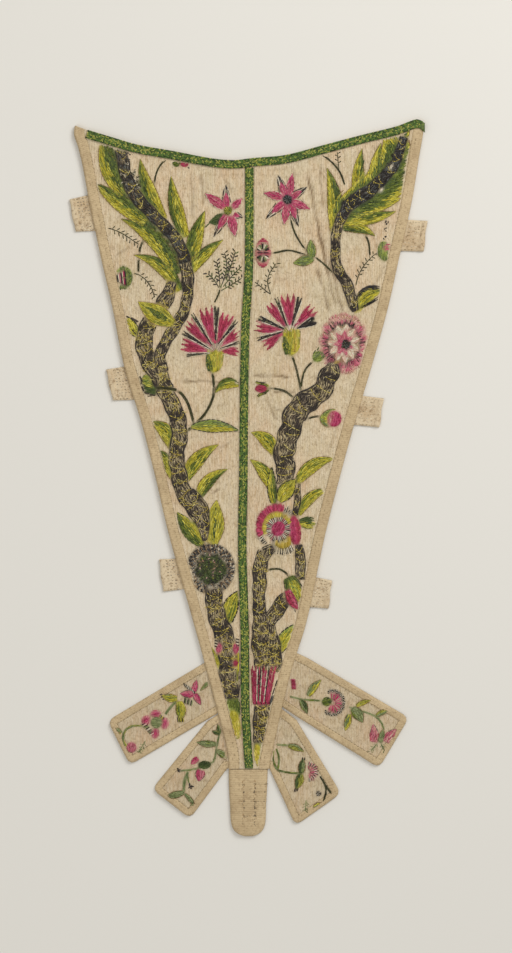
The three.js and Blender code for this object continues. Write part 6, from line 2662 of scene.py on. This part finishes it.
def right_lower() -> Stitches:
    """Leaves, the large flower, the striped bell and the last leaf at the point on the right half."""
    work = Stitches("embroidery_right_lower", 23, CUT.in_silk)
    leaves(work, [
        ((14.6, 12.5), (1.4, 24.6), -2.6, (3.8, 4.0), LIME, SPRING, {"vein": DARK}),
        ((12.5, -6), (0.8, 10), -2.2, (3.6, 3.4), LIME, SPRING),
        ((13.5, -14), (12.5, 6), 0.3, (2.5, 2.5), LIME, LEAFY, {"edge": INK, "edge_width": 0.8}),
        ((16.5, -12.6), (25.5, -0.6), 0.3, (4.2, 4.2), LIME, LIME,
         {"edge": INK, "edge_width": 0.7, "full": 0.3, "rise": 0.95, "vein": MOSS}),
        ((26, -3), (47, 10.5), 3.6, (3.4, 3.8), SPRING, LIME),
        ((27, -20), (44, -6), 3.2, (3.0, 3.0), SPRING, LIME),
        ((27, -24.5), (39.6, -26.4), 1.2, (3.2, 3.2), DARK, LIME, {"edge": DARK}),
    ])
    work.trunk([(26, -3, 1.8), (26.5, -12, 1.6), (25, -20, 1.4)], 0.5)
    flower = (15.8, -27.6)
    work.fringe((18.4, -29), 7.6, 12.6, (226, 306), 0.62, CHECK, 0.4, 0.62, 0.16)
    work.fringe(flower, 8.6, 11.6, (180, 232), 0.62, CHECK, 0.4, 0.6, 0.2)
    work.fringe(flower, 9.4, 13.6, (26, 78), 0.62, CHECK, 0.4, 0.6, 0.3)
    arch = (15.6, -26.4)
    for ring in (7.6, 9.0):
        work.fringe(arch, ring, ring + 2.9, (70, 206), 0.4, (RED, RED, ROSE), 0.52, 0.72, 0.08, 1.06)
    work.fringe(arch, 11.7, 12.3, (76, 214), 0.9, (INK,), 0.4, 0.5, 0.1, 1.06)
    work.fringe((15.7, -27.0), 5.4, 8.6, (20, 206), 0.4, (STRAW, LIME), 0.6, 0.68, 0.1)
    work.oval((25.0, -28.6), (8.2, 3.3), 96, RED, 0.56)
    work.oval((24.2, -28.2), (6.4, 1.5), 96, ROSE, 0.62)
    for k in range(14):
        work.strokes(
            [(14.6 + 0.62 * k, -38.6 + 0.045 * (k - 6.5) ** 2, 15.4 + 0.56 * k, -30.6)], 0.72, STRAW, 0.5
        )
    work.fringe(flower, 3.4, 6.9, (0, 360), 0.6, (INK, IVORY, SLATE, IVORY, INK, BLUSH), 0.68, 0.6, 0.2)
    work.oval((16, -27.4), (4.3, 3.3), 60, ROSE, 0.76)
    work.trunk([
        (9, -40, 3.6), (6.8, -45, 3.6), (6, -51, 3.6), (6, -57, 3.6), (5.7, -63, 3.2), (5.7, -69, 3.2),
        (6.5, -75, 4.0), (7, -81, 4.6), (6.5, -87, 4.8), (7, -93, 4.8), (8, -99, 4.8), (8.5, -104, 4.4),
    ], 0.6, curls=0.6)
    work.trunk([(13.5, -37.5, 2.0), (11, -39, 3.0), (9, -40.5, 3.4)], 0.4)
    work.trunk([(27, -36, 1.6), (28, -42, 2.6), (28, -48, 2.6), (28, -55, 2.2)], 0.6, curls=0.3)
    work.trunk([(24, -60, 2), (20, -65, 3.4), (16.5, -70, 4), (13, -75, 3.4), (11, -79, 3)], 0.6, curls=0.3)
    work.trunk(
        [(11.5, -80, 2.6), (13, -87, 3.2), (14, -93, 3.6), (14.5, -100, 3.2), (13, -104, 3)], 0.6, curls=0.8
    )
    work.stem([(9.4, -50), (15, -48.8), (19.5, -50.5), (23, -54.5)], 1.3, TWIG)
    work.leaf(
        (21.6, -53.4), (29.2, -71), 0.2, (4.4, 4.6), (LEAFY, LEAFY), full=0.6,
        edge=INK, edge_width=0.6, crest=0.4, rise=0.94,
    )
    work.leaf((23.2, -55.6), (28.6, -68), 0.3, (2.8, 2.6), (LIME, FRESH), full=0.6, edge=None, rise=1.0)
    work.leaf(
        (21.4, -60.4), (27.0, -71.4), -0.4, (2.0, 3.0), (PINK, RED), full=0.6, edge=(Shade.BARK,), rise=1.05
    )
    work.strokes([(24.4, -69.6, 25.6, -72.8), (23.2, -68.4, 22.8, -71)], 0.7, INK)
    work.leaf((15.6, -95), (26, -78.6), 0.8, (3.8, 3.2), (FRESH, LIME), edge=INK, edge_width=0.9, vein=LEAFY)
    # Striped bell.
    bell = (
        RED, RED, ROSE, RED, RED, IVORY, INK, RED, INK, IVORY, RED, RED, ROSE, RED,
        IVORY, INK, RED, RED, ROSE, RED, RED, RED, INK, SLATE, INK, SLATE,
    )
    for k, shades in enumerate(bell):
        top = -102.5 + 1.6 * math.sin(k * 1.9) - (5 if k > 21 else 0)
        work.strokes(
            [(2.4 + 0.41 * k, -121.4 + 0.8 * math.sin(k * 1.3), 1.5 + 0.64 * k, top)], 0.66, shades, 0.86
        )
    for k in range(18):
        work.strokes(
            [(2.2 + 0.62 * k, -120.2 - 0.4 * math.sin(k), 2.9 + 0.6 * k, -122.4)], 0.62,
            (RED, ROSE, RED, INK)[k % 4], 0.9,
        )
    work.trunk(
        [(7.6, -121.5, 3.8), (7.2, -127, 4.4), (6.8, -133, 4.2), (6.6, -139, 4.0), (6.4, -143, 3.4)], 0.6,
        curls=0.9,
    )
    work.oval((6.1, -148.6), (7.8, 3.5), -82, (Shade.LEAF_GREEN, Shade.SAGE), 0.5)
    work.oval((5.4, -150), (6.4, 2.2), -82, GILT, 0.66)
    work.strokes([(4.6, -153, 4.2, -156)], 0.9, INK, 0.4)
    return work


def on_tab_silk(name: str) -> Callable[[Array, Array], Array]:
    """Tell where a tab's open silk is.

    Args:
        name: The tab's name.

    Returns:
        A function of x and y.
    """
    outline = np.array(LowerTab(name, None, None).outline(2.0))

    def inside(x: Array, y: Array) -> Array:
        """True on the open silk."""
        crossings = np.zeros(np.shape(x), dtype=bool)
        for a, b in zip(outline, [*outline[1:], outline[0]]):
            spans = (a[1] > y) != (b[1] > y)
            reach = (b[0] - a[0]) * (y - a[1]) / (b[1] - a[1] + 1e-9) + a[0]
            crossings = crossings ^ (spans & (x < reach))
        return crossings & (CUT.outside(x, y) > 0.6)

    return inside


FADED = (Shade.WORN_GREEN, Shade.SAGE)
DULL = (Shade.SAGE, Shade.LEAF_GREEN, Shade.WORN_GREEN)
WORN = (Shade.WORN_PINK, Shade.PINK)
SMALL = {"rise": 0.3}
RIMMED = {"rise": 0.35, "edge": (Shade.CRIMSON, Shade.BARK), "edge_width": 0.5, "full": 0.7}


def hatch(
    work: Stitches, first: Row, last: Row, reach: Row, count: int, shades: Sequence[Shades] = CHECK
) -> None:
    """Lay short strokes side by side, shade after shade.

    Args:
        work: The area.
        first: Where the first starts.
        last: Where the last starts.
        reach: Way from the start of a stroke to its end.
        count: Number of strokes.
        shades: Shades in turn.
    """
    for k in range(count):
        share = k / max(count - 1, 1)
        x, y = first[0] + (last[0] - first[0]) * share, first[1] + (last[1] - first[1]) * share
        work.strokes([(x, y, x + reach[0], y + reach[1])], 0.62, shades[k % len(shades)], 0.35)


def outer_left_tab() -> Stitches:
    """The sprig on the outer tab at the left."""
    work = Stitches("embroidery_tab_outer_left", 31, on_tab_silk("tab_outer_left"))
    hatch(work, (-35.2, -110.4), (-30.2, -114.0), (1.5, -3.0), 9)
    hatch(work, (-34.2, -118.2), (-30.2, -119.8), (-0.6, -3.8), 8, (INK, FADED, IVORY))
    leaves(work, [
        ((-21, -109.4), (-26.2, -115), 0.2, (1.1, 1.1), FADED, DULL, SMALL),
        ((-29.8, -116.4), (-37, -116.4), 0.3, (2.0, 2.0), ROSE, WORN, RIMMED),
        ((-29.4, -115.4), (-28, -109), 0, (1.5, 1.5), WORN, ROSE, RIMMED),
        ((-29, -116.6), (-25.8, -122.6), 0, (1.7, 1.7), ROSE, WORN, RIMMED),
        ((-38.4, -119.2), (-47, -117.4), 0.6, (2.2, 2.4), LIME, MISTY, SMALL),
        ((-37.4, -120.6), (-36.8, -131.8), 0.6, (2.8, 2.8), LIME, SPRING, SMALL),
        ((-68.6, -137.6), (-74, -134), 0.2, (1.7, 1.6), (Shade.OLIVE, Shade.TAN), FADED, SMALL),
    ])
    hatch(work, (-38.4, -129), (-35.4, -129), (0.3, -3.2), 6, (INK, LIME))
    hatch(work, (-46.6, -116.6), (-45.2, -119.2), (-1.4, -0.6), 3, (INK,))
    work.stem([(-39, -120.6), (-42, -123.6), (-45.2, -128)], 1.6, FADED)
    for x, y, a, b, turn in (
        (-50.2, -127.3, 3.1, 1.9, 5), (-55.4, -131, 3.0, 2.4, 60), (-45.2, -132.6, 3.3, 2.1, 85),
        (-50.4, -138, 3.1, 2.1, 80),
    ):
        work.oval((x, y), (a, b), turn, WORN, 0.35)
        work.oval((x, y), (a * 0.6, b * 0.4), turn, ROSE, 0.42)
    work.oval((-49.8, -132.1), (3.2, 2.9), 0, FADED, 0.45)
    hatch(work, (-58.0, -133.6), (-53.4, -139.0), (2.9, 1.6), 10, (INK, IVORY, INK, FADED))
    hatch(work, (-47.4, -127.6), (-45.6, -129), (-0.8, -1.8), 4, (LIME, INK))
    work.stem(
        [(-54.6, -134.8), (-61, -133.6), (-65.8, -135.4), (-68, -139), (-67, -144), (-65.2, -145.6)], 1.4,
        (Shade.SAGE, Shade.OLIVE),
    )
    work.oval((-63.2, -145.6), (3.0, 2.7), 80, WORN, 0.4)
    work.fern([(-55.4, -141.6), (-57.4, -145), (-59.6, -148.6)], 2.0, 0.9, FADED, 0.45)
    return work


def inner_left_tab() -> Stitches:
    """The sprig on the inner tab at the left."""
    work = Stitches("embroidery_tab_inner_left", 32, on_tab_silk("tab_inner_left"))
    leaves(work, [
        ((-15.4, -138.4), (-19.8, -136.6), 0, (1.4, 1.4), DARK, DULL, SMALL),
        ((-15.4, -138.4), (-16.6, -133), 0, (1.5, 1.5), DARK, DULL, SMALL),
        ((-17.6, -143.6), (-28, -142.6), 0.5, (2.0, 2.0), FADED, DULL, SMALL),
        ((-17, -147.2), (-10.6, -152.8), 0.4, (1.9, 1.9), FADED, DULL, SMALL),
        ((-34.8, -169.6), (-45.4, -171.8), 0.6, (1.9, 1.9), FADED, FADED, SMALL),
        ((-34.4, -170.6), (-28.6, -178), 0.4, (1.2, 1.2), FADED, FADED, SMALL),
        ((-27.2, -151.4), (-31.2, -154.6), 0, (1.5, 1.7), WORN, ROSE, RIMMED),
        ((-26, -157.8), (-26.8, -163.8), 0, (2.8, 2.6), WORN, ROSE, RIMMED),
    ])
    work.stem([(-15.6, -138), (-16.8, -143), (-17.6, -148), (-18.8, -153.6), (-23, -155)], 1.3, DULL)
    work.oval((-23.8, -155), (3.6, 2.2), 5, DARK, 0.4)
    work.stem([(-26.4, -156.6), (-31, -157.6), (-37.4, -158.2)], 1.3, DULL)
    work.knots((-37.8, -158.1), 0.8, 8, INK, 0.3)
    work.stem([(-32.6, -158.6), (-34.6, -163.4), (-34.9, -170)], 1.8, FADED)
    work.stem([(-33, -160), (-32.6, -163.6), (-31.6, -166)], 0.9, DULL)
    work.knots((-31.2, -166.6), 0.9, 10, INK, 0.35)
    work.strokes([(-30.6, -174, -33, -174.4), (-29.6, -176, -31.6, -177)], 0.6, FADED)
    return work


def inner_right_tab() -> Stitches:
    """The sprig on the inner tab at the right."""
    work = Stitches("embroidery_tab_inner_right", 33, on_tab_silk("tab_inner_right"))
    work.stem([(14, -144), (21.6, -144.5)], 1.4, DULL)
    leaves(work, [
        ((21.4, -144.4), (30, -147.8), 0.5, (1.8, 1.9), FADED, OLIVE, SMALL),
        ((28.5, -159.6), (29.6, -151.4), 0.2, (2.1, 2.1), DARK, DULL, SMALL),
        ((28.3, -160), (25.6, -168.4), 0.3, (2.5, 2.5), OLIVE, DARK, SMALL),
        ((35.2, -177.8), (40.2, -175.4), 0.2, (1.3, 1.3), LIME, FADED, SMALL),
    ])
    work.stem([(13.8, -145), (13.2, -150), (13.8, -155), (15.9, -158)], 1.2, DULL)
    work.stem([(15, -146), (16.6, -151.6), (15.8, -157.5)], 1.2, DULL)
    work.stem([(15.6, -157.8), (21.6, -159.2), (28, -159.6)], 1.4, DULL)
    hatch(work, (25.2, -167.4), (26.8, -167), (-0.6, -2.6), 3, (INK,))
    hatch(work, (29, -152.6), (30.2, -152.8), (0.2, 2.0), 2, (INK,))
    work.fringe((32.2, -158.6), 1.0, 3.6, (-80, 95), 0.5, (PINK, BLUSH, PINK, FADED), 0.36, 0.6, 0.2)
    work.fringe((32.2, -158.6), 3.2, 5.6, (-85, 95), 0.55, (INK, IVORY, PINK), 0.34, 0.5, 0.25)
    work.stem([(38.3, -160.7), (41.4, -165.6), (42, -169.4), (40.4, -175)], 1.1, TWIG)
    work.stem([(41, -165), (43.6, -169), (46, -171.6)], 1.0, TWIG)
    work.fringe((37.8, -170.5), 0.2, 1.6, (0, 360), 0.5, (INK, INK, IVORY), 0.3, 0.5)
    work.fern([(31.2, -173.6), (31, -176.6), (30.6, -180)], 2.0, 0.8, FADED, 0.45)
    return work


def outer_right_tab() -> Stitches:
    """The sprig on the outer tab at the right."""
    work = Stitches("embroidery_tab_outer_right", 34, on_tab_silk("tab_outer_right"))
    hatch(work, (22.4, -107.6), (22.9, -113.8), (3.2, -0.2), 11, (RED, RED, ROSE))
    work.stem([(22, -117.8), (28.6, -119.6), (40.5, -120.4)], 1.3, DULL)
    leaves(work, [
        ((32.2, -117.8), (39.4, -109), 0.6, (2.2, 2.0), FADED, (Shade.OLIVE, Shade.YELLOW_GREEN), SMALL),
        ((28.2, -120), (31.8, -127.4), 0.3, (2.0, 2.0), DARK, DULL, SMALL),
        ((58.2, -123), (66, -120), 0.3, (1.4, 1.5), OLIVE, LIME, SMALL),
        ((54.4, -127.6), (52.2, -136.6), 0.2, (2.0, 2.0), LIME, MISTY, SMALL),
        ((56, -124.4), (61.8, -132.2), 0.4, (3.2, 2.8), FADED, DULL, SMALL),
        ((69, -128.4), (76.2, -125.2), 0.3, (1.5, 1.5), OLIVE, FADED, SMALL),
        ((67.8, -142.8), (67.4, -133), -0.4, (2.4, 2.2), WORN, BLUSH, RIMMED),
        ((74.2, -142.8), (79.8, -135.6), 0.4, (2.4, 2.2), WORN, BLUSH, RIMMED),
        ((71.2, -143), (72.8, -135.6), 0, (1.8, 1.8), FADED, FADED, SMALL),
    ])
    work.fringe((45.4, -121.4), 1.4, 5.2, (-125, 105), 0.5, (PINK, ROSE, PINK, BLUSH, FADED), 0.4, 0.6, 0.15)
    for k in range(10):
        angle = math.radians(-120 + 24.5 * k)
        spot = (45.4 + 5.2 * math.cos(angle), -121.4 + 5.6 * math.sin(angle))
        turn = math.degrees(angle)
        work.fringe(spot, 0.6, 1.9, (turn - 100, turn + 100), 0.5, (INK, INK, IVORY), 0.36, 0.5, 0.1)
    work.oval((42.2, -120.8), (2.9, 2.4), 20, LEAFY, 0.5)
    work.stem([(54, -123.6), (62.1, -126.2), (68, -128.4), (71.8, -131.8), (73.2, -136.4)], 1.2, DULL)
    work.fern([(70.7, -142.6), (68, -145), (65.9, -147.8)], 1.7, 0.9, FADED, 0.45)
    work.fern([(71, -142.6), (72.4, -145), (73.6, -147.4)], 1.7, 0.9, FADED, 0.45)
    return work


# ------------------------------------------------------------------ table, light and camera
@dataclass(frozen=True)
class Studio:
    """A pale table under one large soft light from the upper right, seen from straight above."""

    image: tuple[int, int] = (512, 953)
    pixel: float = 0.54
    aim: tuple[float, float] = (4.05, 0.81)
    lens: float = 100.0
    key_power: float = 11.0
    fill_power: float = 4.2
    world: float = 0.52

    def floor(self) -> None:
        """Lay the table."""
        bpy.ops.object.select_all(action="DESELECT")
        bpy.ops.mesh.primitive_plane_add(size=4.0)
        board = bpy.context.object
        name_piece(board, "table")
        for corner in board.data.vertices:
            corner.co.z = -0.0004
        board.data.materials.append(PaleTable().build())
        board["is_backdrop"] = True

    def lamp(self, name: str, spot: Row, size: float, power: float) -> None:
        """Hang an area light that faces the middle of the table.

        Args:
            name: Its name.
            spot: Where it hangs, in metres.
            size: Its side in metres.
            power: Its power in watts.
        """
        data = bpy.data.lights.new(name, "AREA")
        data.size, data.energy = size, power
        light = bpy.data.objects.new(name, data)
        bpy.context.collection.objects.link(light)
        light.location = spot
        away = light.location.normalized()
        light.rotation_euler = away.to_track_quat("Z", "Y").to_euler()

    def light(self) -> None:
        """Light the table."""
        self.lamp("key_softbox", (0.75, 0.85, 0.95), 0.6, self.key_power)
        self.lamp("fill_softbox", (-0.7, -0.4, 1.3), 1.2, self.fill_power)
        world = bpy.data.worlds.new("studio")
        world.use_nodes = True
        ground = world.node_tree.nodes["Background"]
        ground.inputs["Color"].default_value = (*linear("#FFFDF8"), 1.0)
        ground.inputs["Strength"].default_value = self.world
        bpy.context.scene.world = world
        bpy.context.scene.view_settings.view_transform = "Standard"

    def camera(self) -> None:
        """Hang the camera straight above."""
        data = bpy.data.cameras.new("camera")
        data.lens = self.lens
        data.sensor_width = 36.0
        height = self.image[1] * self.pixel * MM * data.lens / data.sensor_width
        data.clip_start, data.clip_end = 0.05, 10.0
        camera = bpy.data.objects.new("camera", data)
        bpy.context.collection.objects.link(camera)
        camera.location = (self.aim[0] * MM, self.aim[1] * MM, height + 2 * MM)
        bpy.context.scene.camera = camera


class Stomacher:
    """The whole garment."""

    # Rectangle that one half of the front is cut from, in metres.
    half_cut = (0.0955, 0.3505)

    def __init__(self) -> None:
        """Plan the stitches, and from them how the cloth lies."""
        self.areas = [left_upper(), left_middle(), left_lower(), right_upper(), right_middle(), right_lower()]
        self.tab_areas = [outer_left_tab(), inner_left_tab(), inner_right_tab(), outer_right_tab()]
        relief = Relief()
        for area in (*self.areas, *self.tab_areas):
            relief.take(area)
        relief.settle()
        self.lie = Lie(relief)
        self.wardrobe = Wardrobe.stocked()

    def thread_piece(
        self, area: Stitches, heights: Level, sink: float = 0.1, top: Level | None = None
    ) -> Piece:
        """Build a piece of threads and fix it on."""
        piece = stitch_mesh(area, heights, sink, top)
        sew_on(piece, [], self.wardrobe.thread)
        return piece

    def build(self) -> None:
        """Make every piece."""
        front = Front(self.lie, self.wardrobe)
        top = self.lie.topmost
        worked = {area.name: self.thread_piece(area, self.lie.front, top=top) for area in self.areas}
        for area in self.tab_areas:
            self.thread_piece(area, self.lie.tab_work, top=top)
        for side, name in ((-1, "left"), (1, "right")):
            half = front.build_half(side)
            ribbon = front.build_binding(side)
            wide, long = self.half_cut
            sheet_area(half, wide, long)
        front.build_braid_top()
        front.build_braid_centre()
        CentreTab(self.wardrobe).build()
        tabs = [LowerTab(name, self.lie, self.wardrobe) for name in LOWER_TABS]
        for tab in tabs:
            tab.build()
        tapes = [PinTape(name, self.wardrobe) for name in PIN_TAPES]
        for tape in tapes:
            tape.build()
        threads = Threads()
        braid = lambda x, y: np.full(np.shape(x), CUT.wall + 0.86)  # noqa: E731
        self.thread_piece(threads.braid_centre(), braid, 0.25)
        self.thread_piece(threads.braid_top(), braid, 0.25)
        self.thread_piece(threads.bindings(), self.binding_top, 0.05)
        self.thread_piece(threads.tabs(tabs), self.tab_top, 0.05)
        self.thread_piece(threads.tapes(tapes), lambda x, y: np.full(np.shape(x), 0.84), 0.08)

    @staticmethod
    def binding_top(x: Array, y: Array) -> Array:
        """Height of the long bindings near their inner edges."""
        edge = np.where(x < 0, CUT.left_edge(y), CUT.right_edge(y))
        inner = CUT.binding_width * 1.03 - np.abs(edge - x)
        return CUT.wall + 0.02 + 0.36 * smooth(inner / 0.55)

    @staticmethod
    def tab_top(x: Array, y: Array) -> Array:
        """Height of the tabs' ribbons and of the centre tab near their sewing."""
        centre = (np.abs(x) < 10) & (y < CUT.point_y)
        return np.where(centre, CUT.centre_tab_height - 0.22, CUT.tab_wall + 0.3)


def corners(pair: Sequence[Sequence[float]]) -> list[list[float]]:
    """A box as plain lists."""
    return [[float(value) for value in corner] for corner in pair]


def main() -> None:
    """Build the garment and its studio."""
    logging.basicConfig(level=logging.INFO)
    Stomacher().build()
    studio = Studio()
    studio.floor()
    studio.light()
    studio.camera()
    bpy.context.view_layer.update()
    {"cad": corners(CAD_BOX), "visual": corners(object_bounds())}


if __name__ == "__main__":
    main()
